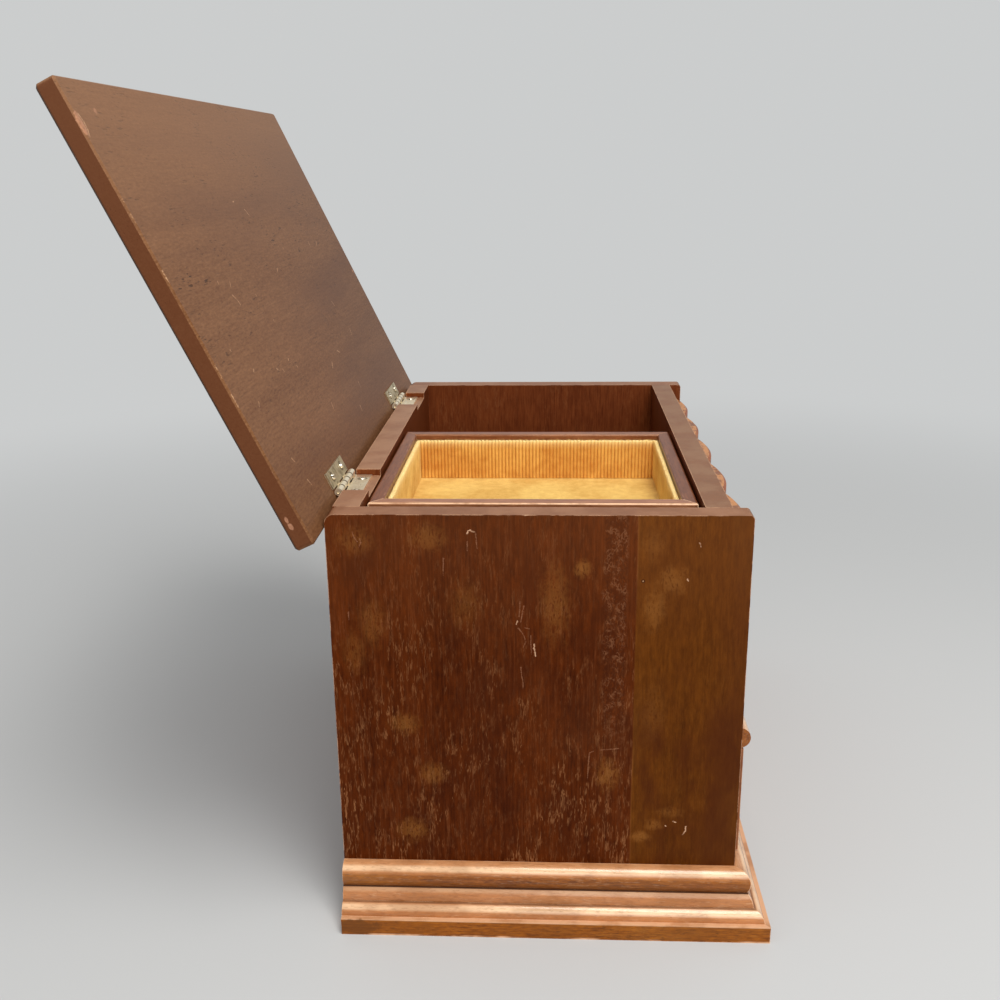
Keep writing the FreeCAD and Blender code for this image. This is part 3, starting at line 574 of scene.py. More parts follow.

# %% [markdown]
# ## The left side panel, board by board
#
# This panel faces the camera and is glued from two boards. The rear one is dark and red, with
# thin pale curls that crowd towards the bottom. The front one is smoother and more golden, and
# the wood beside the joint has a strip of lacy figure. The long scratch in the middle, the small
# hook near the top and the pale soft spots are the marks that make this chest this one, so they
# are placed one by one, in millimetres from the middle of the chest and from the table.

# %% The marks of the left side
LEFT_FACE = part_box("side_panel_left")[0].x
SIDE_SCRATCHES = [
    [(41.1, 210.8), (40.6, 212.2), (39.8, 212.5), (38.9, 211.9), (37.3, 211.5)],
    [(14.0, 219.7), (11.7, 220.5)],
    [(17.9, 166.7), (18.4, 165.2)],
    [(9.9, 154.7), (10.0, 152.7), (9.6, 151.0), (9.3, 148.3)],
    [(-67.0, 206.6), (-67.6, 204.8)],
    [(-62.0, 188.6), (-62.5, 187.6)],
    [(-55.9, 55.9), (-56.4, 55.6)],
    [(-59.6, 58.5), (-61.2, 57.9)],
    [(-66.1, 55.6), (-66.0, 53.2), (-64.6, 50.7)],
]
FAINT_SCRATCHES = [
    [(16.6, 176.8), (17.1, 169.1)],
    [(14.8, 174.7), (15.3, 172.1), (16.3, 166.1)],
    [(17.5, 163.1), (15.5, 160.5), (14.7, 158.8), (13.9, 156.2), (15.2, 153.1)],
    [(14.3, 163.3), (12.3, 162.9)],
    [(11.5, 159.2), (11.5, 154.9), (11.2, 149.6)],
    [(16.4, 142.5), (16.0, 137.6), (15.4, 134.5), (15.5, 131.4)],
    [(37.2, 211.0), (36.9, 207.5), (36.6, 203.3)],
    [(95.3, 211.4), (94.5, 208.6), (92.9, 206.5)],
    [(91.8, 208.0), (91.4, 206.2), (92.7, 203.4)],
    [(41.2, 206.8), (41.3, 202.3)],
    [(99.1, 170.8), (99.0, 166.5)],
    [(52.6, 198.4), (52.9, 189.9)],
    [(-17.5, 96.7), (-19.2, 97.5)],
    [(-22.9, 98.3), (-31.8, 99.2)],
    [(-17.2, 96.0), (-16.4, 82.0)],
]
# A nail hole beside the joint, and the size of its dark ring.
NAIL_HOLE = (-41.3, 187.6)
NAIL_RING = 1.1
# Each soft spot: its middle, its half width and half height, and how strongly it shows.
SIDE_SPOTS = [
    ((-12.6, 194.0), (5, 6), 0.95), ((0.0, 176.0), (9, 26), 0.55), ((60.0, 209.0), (11, 9), 0.6),
    ((42.8, 175.0), (10, 16), 0.35), ((94.0, 207.0), (12, 9), 0.55), ((74.0, 111.6), (9, 8), 0.7),
    ((-26.0, 85.0), (7, 11), 0.85), ((60.7, 83.8), (9, 8), 0.6), ((72.0, 51.0), (10, 8), 0.8),
    ((-55.0, 188.0), (9, 9), 0.75), ((-47.0, 174.0), (7, 14), 0.7), ((-46.0, 205.0), (7, 10), 0.4),
    ((-43.0, 49.5), (7, 4), 0.95), ((-50.0, 56.5), (6, 4), 0.7), ((-58.0, 63.5), (8, 4), 0.5),
    ((88.0, 165.0), (9, 16), 0.45), ((97.0, 150.0), (8, 14), 0.4), ((-48.0, 120.0), (8, 22), 0.25),
]


def on_left_face(point):
    return (LEFT_FACE, point[0] * MILLIMETRE, point[1] * MILLIMETRE)


def side_lines(lines):
    return [[on_left_face(point) for point in line] for line in lines]


def side_spots(spots):
    """Each spot on the face, and a size that reaches through the board."""
    return [(on_left_face(center), (0.02, wide * MILLIMETRE, tall * MILLIMETRE), strength)
            for center, (wide, tall), strength in spots]


print("marks on the left side:", len(SIDE_SCRATCHES) + len(FAINT_SCRATCHES), "scratches,",
      len(SIDE_SPOTS), "soft spots")

# %% The finish of the left side
# Where the two boards meet, the far edge of the lacy strip beside the joint, its clear width at the joint,
# the heights between which it fades, and the places between which the front board turns dull.
JOINT_Y = -0.0384
LACE_Y = -0.0219
LACE_OFF_JOINT = 0.0034
LACE_FOOT = (0.085, 0.135)
FORWARD_Y = (-0.066, -0.1)


def two_board_side(name):
    material, tree = blank_material(name)
    place = own_place(tree)
    at = parts(tree, place)
    wander = centred(tree, noise(tree, place, 60.0, 3.0, flow=0.25), 0.0012)
    across = plus(tree, at["Y"], wander)
    crowd = remap(tree, at["Z"], 0.21, 0.045, 0.25, 0.85)
    rear = use_group(tree, GRAIN, Place=place, Dark=srgb(56, 16, 0), Light=srgb(98, 41, 6),
                     Worn=srgb(152, 100, 62), Bands=0.7, Band_Size=34.0, Fibres=0.6, Mottle=0.75,
                     Mottle_Scale=500.0, Strokes=crowd, Pores=0.35, Rubbed=0.06)
    front = use_group(tree, GRAIN, Place=place, Dark=srgb(62, 26, 2), Light=srgb(112, 60, 12),
                      Worn=srgb(146, 94, 36), Bands=0.45, Band_Size=24.0, Fibres=0.4, Mottle=0.7,
                      Mottle_Scale=420.0, Strokes=0.12, Pores=0.25, Rubbed=0.3)
    # The rear board: long faint streaks of the grain, and dark clouds between them.
    streaks = noise(tree, place, 900.0, 2.0, flow=0.03, shift=(2.2, 0.6, 9.0))
    streaks = remap(tree, streaks, 0.54, 0.68, 0.0, 0.12)
    rear_colour = stain(tree, rear["Color"], streaks, (132, 76, 44))
    clouds = noise(tree, place, 48.0, 4.0, 0.6, flow=0.6, shift=(0.9, 4.4, 1.2))
    clouds = remap(tree, clouds, 0.5, 0.68, 0.0, 0.4)
    rear_colour = stain(tree, rear_colour, clouds, (60, 20, 4))
    # The front board: golden above, redder below, and dull towards the front of the chest.
    clouds = remap(tree, noise(tree, place, 36.0, 4.0, 0.6, flow=0.5, shift=(3.3, 1.4, 0.2)), 0.4, 0.64)
    low = remap(tree, at["Z"], 0.16, 0.10, 0.15, 0.65)
    front_colour = stain(tree, front["Color"], times(tree, clouds, low), (70, 28, 8))
    forward = remap(tree, plus(tree, at["Y"], times(tree, wander, 4.0)), *FORWARD_Y)
    front_colour = stain(tree, front_colour, forward, (76, 36, 18), 0.4)
    is_front = remap(tree, across, JOINT_Y + 0.0003, JOINT_Y - 0.0003)
    colour = blend(tree, is_front, rear_colour, front_colour)
    # The lacy figure near the joint: short curls with little direction, pale on dark, gone towards the foot.
    ragged = plus(tree, at["Y"], centred(tree, noise(tree, place, 160.0, 3.0), 0.007))
    in_lace = times(tree, remap(tree, ragged, LACE_Y, LACE_Y - 0.0025),
                    remap(tree, across, JOINT_Y + LACE_OFF_JOINT, JOINT_Y + LACE_OFF_JOINT + 0.002))
    in_lace = times(tree, in_lace, remap(tree, at["Z"], *LACE_FOOT))
    lace = curls(tree, place, 700.0, 0.6, 0.02, 0.1)
    dark_lace = curls(tree, stretch(tree, place, shift=(0.4, 0.9, 1.7)), 620.0, 0.6, 0.03, 0.16)
    fades = remap(tree, noise(tree, place, 260.0, 3.0), 0.45, 0.62, 0.0, 0.42)
    colour = stain(tree, colour, times(tree, dark_lace, in_lace), (54, 18, 5), 0.5)
    colour = stain(tree, colour, times(tree, lace, in_lace, fades), (142, 94, 64))
    seam = times(tree, remap(tree, apart(tree, across, JOINT_Y), 0.0007, 0.0001),
                 remap(tree, noise(tree, place, 45.0, 2.0), 0.42, 0.58, 0.1, 1.0))
    colour = stain(tree, colour, seam, (150, 92, 44), 0.18)
    net = curls(tree, stretch(tree, place, shift=(1.0, 0.2, 0.5)), 620.0, 0.45, 0.03, 0.2)
    rough = noise(tree, place, 620.0, 4.0, 0.7, flow=0.5, shift=(4.1, 0.3, 2.6))
    net = most(tree, net, remap(tree, rough, 0.47, 0.62, 0.05, 0.85))
    spots = times(tree, spots_mask(tree, place, side_spots(SIDE_SPOTS)), net)
    colour = stain(tree, colour, spots, (154, 98, 44), 0.52)
    paler = remap(tree, at["Z"], 0.14, 0.22, 0.0, 0.12)
    colour = stain(tree, colour, paler, (140, 84, 48))
    # Faces that look up take a painted sheen: the room's light reflected grey-brown.
    colour = blend(tree, faces_up(tree), colour, sheen_on_top(tree, place, BOARD_TOP, colour))
    edges = use_group(tree, EDGES, Place=place, Width=0.0007, Amount=0.7)
    colour = stain(tree, colour, edges["Mask"], (206, 158, 124))
    sharp = times(tree, lines_mask(tree, place, side_lines(SIDE_SCRATCHES), 0.00044), 0.8)
    faint = lines_mask(tree, place, side_lines(FAINT_SCRATCHES), 0.0004)
    colour = stain(tree, colour, faint, (176, 122, 90), 0.36)
    colour = stain(tree, colour, sharp, (222, 176, 140))
    hole = measure(tree, "DISTANCE", place, on_left_face(NAIL_HOLE))
    ring = NAIL_RING * MILLIMETRE
    colour = stain(tree, colour, remap(tree, hole, ring, 0.6 * ring, 0.0, 0.8), (48, 20, 6))
    colour = stain(tree, colour, remap(tree, hole, 0.5 * ring, 0.2 * ring), (170, 128, 92))
    wear = plus(tree, rear["Wear"], edges["Mask"])
    varnish(tree, colour, wear, rear["Height"], rough=0.4, level=0.08)
    return material


dress(two_board_side("left side, two boards"), "side_panel_left")
print("left side dressed")

# %% [markdown]
# ## The lid
#
# The lid stands open. Its inner face is a warm brown with a dull gloss, fine dark pores along its
# length, a few broad soft bands, and many small pale ticks near the hinges. Its marks are easiest
# to place in the lid's own frame: along it, and up from the hinge. The lid's pose is known from
# its joint, so a Mapping node of the Texture kind lays that frame on the hinge axis, turned as
# the lid is. A pattern on the piece's own coordinates then needs nothing else.

# %% The lid's own frame and its marks
LID_JOINT = next(joint for joint in frame["joints"] if joint["name"] == "lid_hinge")
HINGE_AXIS = tuple(LID_JOINT["pos_m"])
LID_OPEN = math.radians(LID_JOINT["range_deg"][1])
LID_TICKS = [
    [(-123.1, 117.5), (-123.8, 115.6)], [(-106.1, 115.3), (-108.6, 113.1)],
    [(-112.8, 109.0), (-109.4, 105.9), (-108.6, 103.2)], [(22.6, 123.1), (21.8, 122.2)],
    [(-13.0, 113.3), (-15.7, 111.6)], [(-106.3, 67.6), (-104.0, 66.1)], [(-97.7, 65.4), (-97.3, 64.0)],
    [(-139.4, 73.7), (-141.4, 72.6)], [(-79.9, 68.2), (-81.4, 67.4)], [(-155.9, 60.2), (-158.1, 58.3)],
    [(-69.8, 89.2), (-70.0, 88.5)], [(-30.2, 154.9), (-27.1, 155.2)], [(-15.7, 149.7), (-12.5, 146.2)],
    [(-155.7, 86.8), (-155.3, 86.1)], [(-76.5, 104.7), (-77.1, 103.7)], [(-71.9, 62.4), (-72.4, 61.4)],
    [(91.1, 122.3), (89.3, 118.5)], [(112.1, 120.8), (108.8, 118.3)], [(70.5, 81.4), (72.7, 78.3)],
    [(80.9, 60.2), (77.8, 56.2)], [(22.4, 54.4), (27.1, 52.4)], [(-2.2, 51.4), (-7.3, 48.2)],
    [(-46.2, 33.9), (-48.0, 30.0)], [(33.3, 30.7), (31.8, 26.7)], [(9.2, 19.7), (7.1, 16.3)],
    [(-153.5, 30.0), (-151.9, 27.4)], [(-148.3, 16.7), (-146.2, 13.1)],
    [(-179.6, 199.0), (-178.4, 195.5), (-178.6, 192.5), (-180.6, 189.0)],
    [(-182.9, 161.6), (-182.9, 160.2)], [(-182.9, 155.0), (-182.9, 150.2)],
    [(-182.9, 129.0), (-182.9, 121.8)], [(-182.9, 84.0), (-182.9, 78.0)],
    [(-182.9, 70.0), (-182.9, 60.0)],
]
# The lid's inner face lies this far beyond the hinge's axis, and the lid is this thick, in millimetres.
LID_UNDER = 2.3
LID_THICK = 9.5
LID_OUTER = LID_UNDER + LID_THICK
# Each bare patch: its middle along the lid, up from the hinge and into its thickness, its half sizes
# and its strength.
LID_CHIPS = [((-181.6, 195.0, 2.3), (2.7, 8.0, 2.2), 1.0), ((178.5, 92.5, 2.3), (2.6, 2.0, 2.0), 0.9),
             ((-183.5, 9.6, 8.4), (1.6, 2.4, 1.0), 0.9), ((-183.5, 6.2, 8.2), (1.6, 2.4, 1.5), 0.9),
             ((-159.2, 201.0, 2.3), (2.6, 2.6, 2.0), 0.55)]


def on_lid(point):
    """A place on the lid in millimetres: along it, up from the hinge, and, if given, into its thickness."""
    into = point[2] if len(point) > 2 else LID_UNDER
    return (point[0] * MILLIMETRE, -point[1] * MILLIMETRE, into * MILLIMETRE)


def lid_finish(name):
    material, tree = blank_material(name)
    lid_frame = {"Vector": own_place(tree), "Location": HINGE_AXIS, "Rotation": (-LID_OPEN, 0.0, 0.0)}
    place = node(tree, "ShaderNodeMapping", lid_frame, vector_type="TEXTURE").outputs["Vector"]
    at = parts(tree, place)
    along = stretch(tree, place, turn=ALONG["x"])
    up_lid = times(tree, at["Y"], -1.0)
    crowd = remap(tree, up_lid, 0.03, 0.13, 0.5, 1.2)
    grown = use_group(tree, GRAIN, Place=along, Dark=srgb(94, 56, 31), Light=srgb(138, 96, 64),
                      Worn=srgb(176, 128, 90), Bands=0.5, Band_Size=26.0, Fibres=0.5, Mottle=1.0,
                      Mottle_Scale=900.0, Strokes=0.08, Pores=crowd, Pore_Squeeze=0.16,
                      Pore_Scale=1050.0, Rubbed=0.0)
    colour = grown["Color"]
    # Broad bands across the lid, as the light and the stain lie on it.
    waves = noise(tree, stretch(tree, place, (0.12, 1.0, 1.0)), 22.0, 3.0, 0.5)
    colour = stain(tree, colour, remap(tree, waves, 0.42, 0.66, 0.0, 0.42), (94, 60, 43))
    # Paler towards the top of the lid: a painted sheen of the ceiling light.
    colour = stain(tree, colour, remap(tree, up_lid, 0.11, 0.21, 0.0, 0.5), (150, 110, 80))
    grit = remap(tree, noise(tree, place, 1800.0, 2.0, 0.6), 0.6, 0.74, 0.0, 0.3)
    colour = stain(tree, colour, grit, (182, 138, 102))
    # The ends are redder than the faces, and darker along the outer arris, a painted shade where the rounded
    # arris turns away from the light.
    turned = absolute(tree, own_normal(tree)["X"])
    on_end = remap(tree, turned, 0.7, 0.96)
    colour = stain(tree, colour, on_end, (100, 56, 34), 0.8)
    outer_skin = [(LID_OUTER - depth) * MILLIMETRE for depth in (1.6, 0.5)]
    painted_arris_shade = remap(tree, at["Z"], *outer_skin, 0.0, 0.75)
    colour = stain(tree, colour, times(tree, painted_arris_shade, remap(tree, turned, 0.2, 0.5)), (38, 18, 9))
    edges = use_group(tree, EDGES, Place=place, Width=0.0008, Amount=0.35, Break_Up=120.0)
    colour = stain(tree, colour, edges["Mask"], (190, 142, 110), 0.7)
    ticks = lines_mask(tree, place, [[on_lid(point) for point in line] for line in LID_TICKS], 0.0005)
    colour = stain(tree, colour, ticks, (206, 162, 124), 0.8)
    chips = [(on_lid(center), tuple(v * MILLIMETRE for v in size), strength) for center, size,
             strength in LID_CHIPS]
    chips = spots_mask(tree, place, chips)
    crumbled = remap(tree, noise(tree, place, 700.0, 3.0, 0.6), 0.3, 0.6, 0.5, 1.0)
    chips = times(tree, remap(tree, chips, 0.2, 0.5), crumbled)
    colour = stain(tree, colour, chips, (184, 132, 102), 0.85)
    varnish(tree, colour, plus(tree, grown["Wear"], edges["Mask"]), grown["Height"], rough=0.44,
            level=0.1, bump=0.00006)
    return material


dress(lid_finish("lid"), "lid_panel")
print("lid dressed, hinge axis", [round(v, 4) for v in HINGE_AXIS])

# %% [markdown]
# ## The moulding
#
# The moulding round the base is the lightest wood of the chest, honey brown under the most gloss.
# Its rounds are rubbed to a peach colour, and a painted highlight runs along them where they turn
# up to the light. The flat band at its foot keeps amber blotches, and the two quirks between the
# rounds are painted dark as shade. The same profile runs round three sides, so a height above the
# table is enough to find every part of it.

# %% The moulding's finish
BAND_TOP = 0.0092
QUIRKS = ((0.0149, 0.0003, 0.55), (0.0216, 0.0005, 0.95))
OVOLO_SHADE = (0.0188, 0.0212)
BEAD_FOOT = (0.0262, 0.0220)
MOULDING_CHIP = ((-0.1799, 0.1010, 0.0045), (0.006, 0.0150, 0.0055))
MOULDING_SCRATCH = ((-0.1700, -0.0530, 0.0288), (-0.1685, -0.0544, 0.0320))


def moulding_finish(name, grain):
    material, tree = blank_material(name)
    place = own_place(tree)
    at = parts(tree, place)
    along = stretch(tree, place, turn=ALONG[grain])
    grown = use_group(tree, GRAIN, Place=along, Dark=srgb(98, 44, 0), Light=srgb(182, 102, 16),
                      Worn=srgb(196, 130, 56), Bands=0.9, Band_Size=70.0, Fibres=0.7, Mottle=0.9,
                      Mottle_Scale=700.0, Strokes=0.2, Pores=0.8, Pore_Squeeze=0.2, Rubbed=0.3)
    facing_up = own_normal(tree)["Z"]
    on_rounds = remap(tree, at["Z"], BAND_TOP - 0.0003, BAND_TOP + 0.0003)
    below_bead = remap(tree, at["Z"], QUIRKS[1][0] + 0.0002, QUIRKS[1][0] - 0.0002)
    colour = grown["Color"]
    # The rounds are rubbed to peach: the two lower ones all over, as wear. Where any round turns up,
    # the bead's upper half among them, the peach is partly wear and partly painted light from above.
    rubbed = most(tree, times(tree, below_bead, 0.55), times(tree, remap(tree, facing_up, 0.1, 0.5), 0.6))
    colour = stain(tree, colour, times(tree, on_rounds, rubbed), (214, 146, 96))
    # A painted highlight: a bright band, broken in patches, where the rounds turn up to the ceiling light.
    patchy = noise(tree, along, 95.0, 4.0, 0.6, flow=0.2, shift=(2.0, 6.0, 1.0))
    patchy = remap(tree, patchy, 0.3, 0.6, 0.7, 1.0)
    painted_highlight = times(tree, remap(tree, facing_up, 0.42, 0.66), remap(tree, facing_up, 0.96, 0.8, 0.2, 1.0))
    painted_highlight = times(tree, on_rounds, painted_highlight, times(tree, patchy, 0.85))
    colour = stain(tree, colour, painted_highlight, (252, 212, 168))
    # The wood shows through: short dark fibres, pale ones between them, and amber blotches.
    fine = noise(tree, along, 1250.0, 4.0, 0.7, flow=0.2, shift=(4.0, 1.0, 7.0))
    colour = stain(tree, colour, remap(tree, fine, 0.5, 0.7, 0.0, 0.42), (128, 70, 32))
    pale = noise(tree, along, 1000.0, 3.0, 0.6, flow=0.2, shift=(9.0, 3.0, 2.0))
    colour = stain(tree, colour, times(tree, on_rounds, remap(tree, pale, 0.54, 0.72, 0.0, 0.16)),
                   (250, 214, 172))
    blotches = remap(tree, noise(tree, along, 62.0, 4.0, 0.55, flow=0.55), 0.44, 0.6)
    colour = stain(tree, colour, blotches, (132, 72, 14), 0.34)
    # The top of the round under the bead, and the bead's own foot, are darkened: painted shade, where
    # the bead shadows the round below it and turns down away from the light.
    shade = times(tree, remap(tree, at["Z"], *OVOLO_SHADE), below_bead)
    foot = times(tree, remap(tree, at["Z"], *BEAD_FOOT), minus(tree, 1.0, below_bead))
    colour = stain(tree, colour, shade, (150, 88, 42), 0.6)
    colour = stain(tree, colour, foot, (98, 48, 12), 0.6)
    # The two quirks between the rounds are darkened with painted shade, and lose their gloss.
    quirk_shade = 0.0
    for height, reach, strength in QUIRKS:
        near = apart(tree, at["Z"], height)
        quirk_shade = most(tree, quirk_shade, remap(tree, near, reach, 0.4 * reach, 0.0, strength))
    colour = stain(tree, colour, quirk_shade, (58, 24, 10))
    outside_quirks = minus(tree, 1.0, quirk_shade)
    # Worn lines: the lip of the band and its lower arris, pale where it has been knocked.
    lip = apart(tree, at["Z"], BAND_TOP - 0.0002)
    broken = remap(tree, noise(tree, along, 70.0, 3.0), 0.36, 0.56, 0.35, 0.85)
    lip = times(tree, remap(tree, lip, 0.0005, 0.0002), broken)
    knocks = remap(tree, noise(tree, along, 60.0, 4.0, 0.6, flow=0.4), 0.46, 0.56)
    lower = times(tree, remap(tree, at["Z"], 0.0012, 0.0005, 0.0, 0.95), knocks)
    colour = stain(tree, colour, most(tree, lip, lower), (228, 176, 134))
    edges = use_group(tree, EDGES, Place=place, Width=0.0006, Amount=0.7, Break_Up=60.0)
    colour = stain(tree, colour, times(tree, edges["Mask"], outside_quirks), (234, 186, 146))
    center, size = MOULDING_CHIP
    chip = remap(tree, use_group(tree, SPOT, Place=place, Center=center, Size=size)["Mask"], 0.15, 0.45)
    colour = stain(tree, colour, chip, (104, 58, 16), 0.65)
    colour = stain(tree, colour, lines_mask(tree, place, [MOULDING_SCRATCH], 0.0006), (240, 206, 166))
    gloss = times(tree, minus(tree, outside_quirks, times(tree, shade, 0.5)), 0.85)
    gloss = times(tree, gloss, remap(tree, on_rounds, 0.0, 1.0, 0.35, 1.0))
    softness = plus(tree, grown["Wear"], times(tree, quirk_shade, 3.0))
    varnish(tree, colour, softness, grown["Height"], rough=0.38, level=0.15, coat=gloss, coat_rough=0.13,
            tint=(1.0, 0.8, 0.6))
    return material


moulding_wood = moulding_finish("moulding of the front", "x")
dress(moulding_wood, "base_moulding_front", "ledge_rail")
dress(moulding_finish("moulding of the ends", "y"), "base_moulding_left", "base_moulding_right")
print("moulding dressed")

# %% [markdown]
# ## The drawer's front and knob
#
# They are cut from the same wood as the reeds, a little smoother. The knob is turned, so its
# grain runs out along the spindle and its rings show on its face.

# %% The drawer's finish
drawer_wood = wooden("drawer front", "x", srgb(112, 56, 26), srgb(158, 90, 48), srgb(204, 142, 96), level=0.3,
                     coat=0.3, edge=0.8, edge_colour=srgb(214, 154, 112), Bands=0.8, Strokes=0.2,
                     Pores=0.4, Rubbed=0.3)
knob_wood = wooden("turned knob", "y", srgb(120, 62, 30), srgb(170, 100, 56), srgb(214, 152, 104), level=0.4,
                   coat=0.5, edge=0.9, edge_width=0.0007, Bands=0.9, Band_Size=160.0, Strokes=0.1,
                   Pores=0.3, Rubbed=0.4)
dress(drawer_wood, "drawer_front")
dress(knob_wood, "drawer_knob")
print("drawer dressed")

# %% [markdown]
# ## The hinges' metal
#
# The hinges are thin plated steel, pale and slightly warm, with a tarnish that gathers in patches
# and fine rolling lines along the plates. A metal's colour is its reflection, so the finish
# changes colour and roughness together. A painted shade rings the heads of the screws, where the
# raised heads shadow the leaf, so their places are measured first, from the solids.

# %% Where the screws sit
SCREW_PROUD = 0.00012


def screw_heads(name, straight_up):
    """The middle of each screw's head: its solids, taken apart, and the end furthest up each one."""
    work = bmesh.new()
    work.from_mesh(nodes[name].data)
    bmesh.ops.remove_doubles(work, verts=work.verts, dist=0.000001)
    heads, left = [], set(work.verts)
    while left:
        island, edge_of = set(), {left.pop()}
        while edge_of:
            island |= edge_of
            edge_of = {edge.other_vert(v) for v in edge_of for edge in v.link_edges} - island
        left -= island
        top = max(v.co.dot(straight_up) for v in island)
        rim = [v.co for v in island if v.co.dot(straight_up) > top - 0.0001]
        heads.append(sum(rim, Vector()) / len(rim) + straight_up * SCREW_PROUD)
    work.free()
    return sorted((tuple(head) for head in heads))


FIXED_UP = Vector((0, 0, 1))
MOVING_UP = Matrix.Rotation(-LID_OPEN, 3, "X") @ Vector((0, 0, -1))
FIXED_HEADS = screw_heads("fixed_leaf_screws", FIXED_UP)
MOVING_HEADS = screw_heads("moving_leaf_screws", MOVING_UP)
print("screws in the case:", len(FIXED_HEADS), "in the lid:", len(MOVING_HEADS))

# %% The metal's finish
# The pin stops this far inside the barrel at each end.
PIN_SHORT = 0.001
PIN_LOW, PIN_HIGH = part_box("hinge_right_pin")
KNUCKLES = 5
KNUCKLE_LONG = (PIN_HIGH.x - PIN_LOW.x + 2 * PIN_SHORT) / KNUCKLES
BARREL = (0.0027, 0.0024)
BARREL_METAL = (1.0, 0.88, 0.66)
GRIME_AND_SHADE = (0.10, 0.065, 0.03)


def knuckle_gaps(tree, place):
    """The barrel, and dark rings where one knuckle meets the next. |X| serves both hinges, as they mirror."""
    at = parts(tree, place)
    along = minus(tree, absolute(tree, at["X"]), PIN_LOW.x - PIN_SHORT)
    to_gap = maths(tree, "PINGPONG", along, KNUCKLE_LONG / 2)
    half = KNUCKLES * KNUCKLE_LONG / 2
    inside = remap(tree, apart(tree, along, half), half - 0.001, half - 0.002)
    flat = node(tree, "ShaderNodeCombineXYZ", {"X": 0.0, "Y": at["Y"], "Z": at["Z"]}).outputs[0]
    on_barrel = remap(tree, measure(tree, "DISTANCE", flat, HINGE_AXIS), *BARREL)
    return on_barrel, times(tree, remap(tree, to_gap, 0.0011, 0.0004), on_barrel, inside)


def screw_shade_rings(tree, place, heads):
    """Painted shade round each countersunk head, where the raised head shadows the leaf."""
    total = 0.0
    for head in heads:
        far = measure(tree, "DISTANCE", place, head)
        total = most(tree, total, remap(tree, far, 0.0033, 0.0022))
    return total


def plated(name, clean, tarnish, rough, spread, scale=300.0, heads=()):
    material, tree = blank_material(name)
    place = own_place(tree)
    patches = remap(tree, noise(tree, place, scale, 5.0, 0.62, 0.4), 0.42, 0.64, 0.0, spread)
    rolled = noise(tree, stretch(tree, place, (0.06, 1.0, 1.0)), 2600.0, 2.0, 0.6)
    edges = use_group(tree, EDGES, Place=place, Width=0.0005, Amount=0.9, Break_Up=260.0)
    colour = blend(tree, patches, clean, tarnish)
    colour = blend(tree, times(tree, edges["Mask"], 0.6), colour, (1.0, 0.94, 0.80))
    on_barrel, gaps = knuckle_gaps(tree, place)
    colour = blend(tree, times(tree, on_barrel, 0.85), colour, BARREL_METAL)
    # Dark rings where the knuckles meet, and a painted shade round each screw head.
    grime_and_shade = most(tree, gaps, times(tree, screw_shade_rings(tree, place, heads), 0.8))
    colour = blend(tree, times(tree, grime_and_shade, 0.9), colour, GRIME_AND_SHADE)
    softness = plus(tree, rough, times(tree, patches, 0.2), centred(tree, rolled, 0.18))
    softness = plus(tree, softness, times(tree, grime_and_shade, 0.3))
    relief = node(tree, "ShaderNodeBump",
                  {"Strength": 1.0, "Distance": 0.00003, "Height": plus(tree, rolled, patches)})
    shader = node(tree, "ShaderNodeBsdfPrincipled", {"Base Color": colour, "Roughness": softness,
                                                     "Metallic": 0.85, "Normal": relief.outputs[0]})
    end_material(tree, shader)
    return material


fixed_metal = plated("hinge leaf on the case", (1.0, 0.86, 0.60), (0.66, 0.50, 0.28), 0.30, 0.4,
                     220.0, FIXED_HEADS)
moving_metal = plated("hinge leaf on the lid", (0.58, 0.47, 0.27), (0.28, 0.21, 0.11), 0.34, 0.8,
                      220.0, MOVING_HEADS)
pin_metal = plated("hinge pin", (0.9, 0.76, 0.5), (0.4, 0.3, 0.16), 0.34, 0.6, 400.0)
screw_metal = plated("screws", (1.0, 0.92, 0.74), (0.50, 0.40, 0.26), 0.24, 0.35, 600.0)
dress(fixed_metal, "hinge_left_fixed_leaf", "hinge_right_fixed_leaf")
dress(moving_metal, "hinge_left_moving_leaf", "hinge_right_moving_leaf")
dress(pin_metal, "hinge_left_pin", "hinge_right_pin")
dress(screw_metal, "knob_screw")
print("metal dressed, knuckles", round(KNUCKLE_LONG * 1000, 2), "mm long")

# %% [markdown]
# ## Trees of Geometry Nodes
#
# Screws, the ribs of the corduroy and the fibres at its cut edge all repeat by a rule, so
# Geometry Nodes make them. A tree is built once with named inputs. It is run on a small starting
# mesh, and the result is turned into a plain mesh at once, because the rest of the pipeline wants
# meshes and not live modifiers. An input is set by its socket's identifier: its name alone isn't
# accepted.

# %% Helpers for geometry trees
SOCKETS = {"length": "NodeSocketFloat", "whole": "NodeSocketInt", "place": "NodeSocketVector",
           "material": "NodeSocketMaterial"}


def geometry_tree(name, inputs):
    """An empty geometry tree with named inputs. Each input is (name, kind, value)."""
    tree = bpy.data.node_groups.new(name, "GeometryNodeTree")
    tree.interface.new_socket("Geometry", in_out="INPUT", socket_type="NodeSocketGeometry")
    for label, kind, start in inputs:
        socket = tree.interface.new_socket(label, in_out="INPUT", socket_type=SOCKETS[kind])
        if start is not None:
            socket.default_value = start
    tree.interface.new_socket("Geometry", in_out="OUTPUT", socket_type="NodeSocketGeometry")
    return tree, tree.nodes.new("NodeGroupInput").outputs, tree.nodes.new("NodeGroupOutput").inputs


def finish_tree(tree, geometry, material, out):
    """Every tree ends the same way: instances made real, and a material set."""
    real = node(tree, "GeometryNodeRealizeInstances", {"Geometry": geometry}).outputs[0]
    dressed = node(tree, "GeometryNodeSetMaterial", {"Geometry": real, "Material": material}).outputs[0]
    tree.links.new(dressed, out["Geometry"])


def lifted(tree, geometry, height):
    """A geometry moved up by a height, or down by a negative one."""
    move = {"Geometry": geometry, "Translation": along_z(tree, height)}
    return node(tree, "GeometryNodeTransform", move).outputs[0]


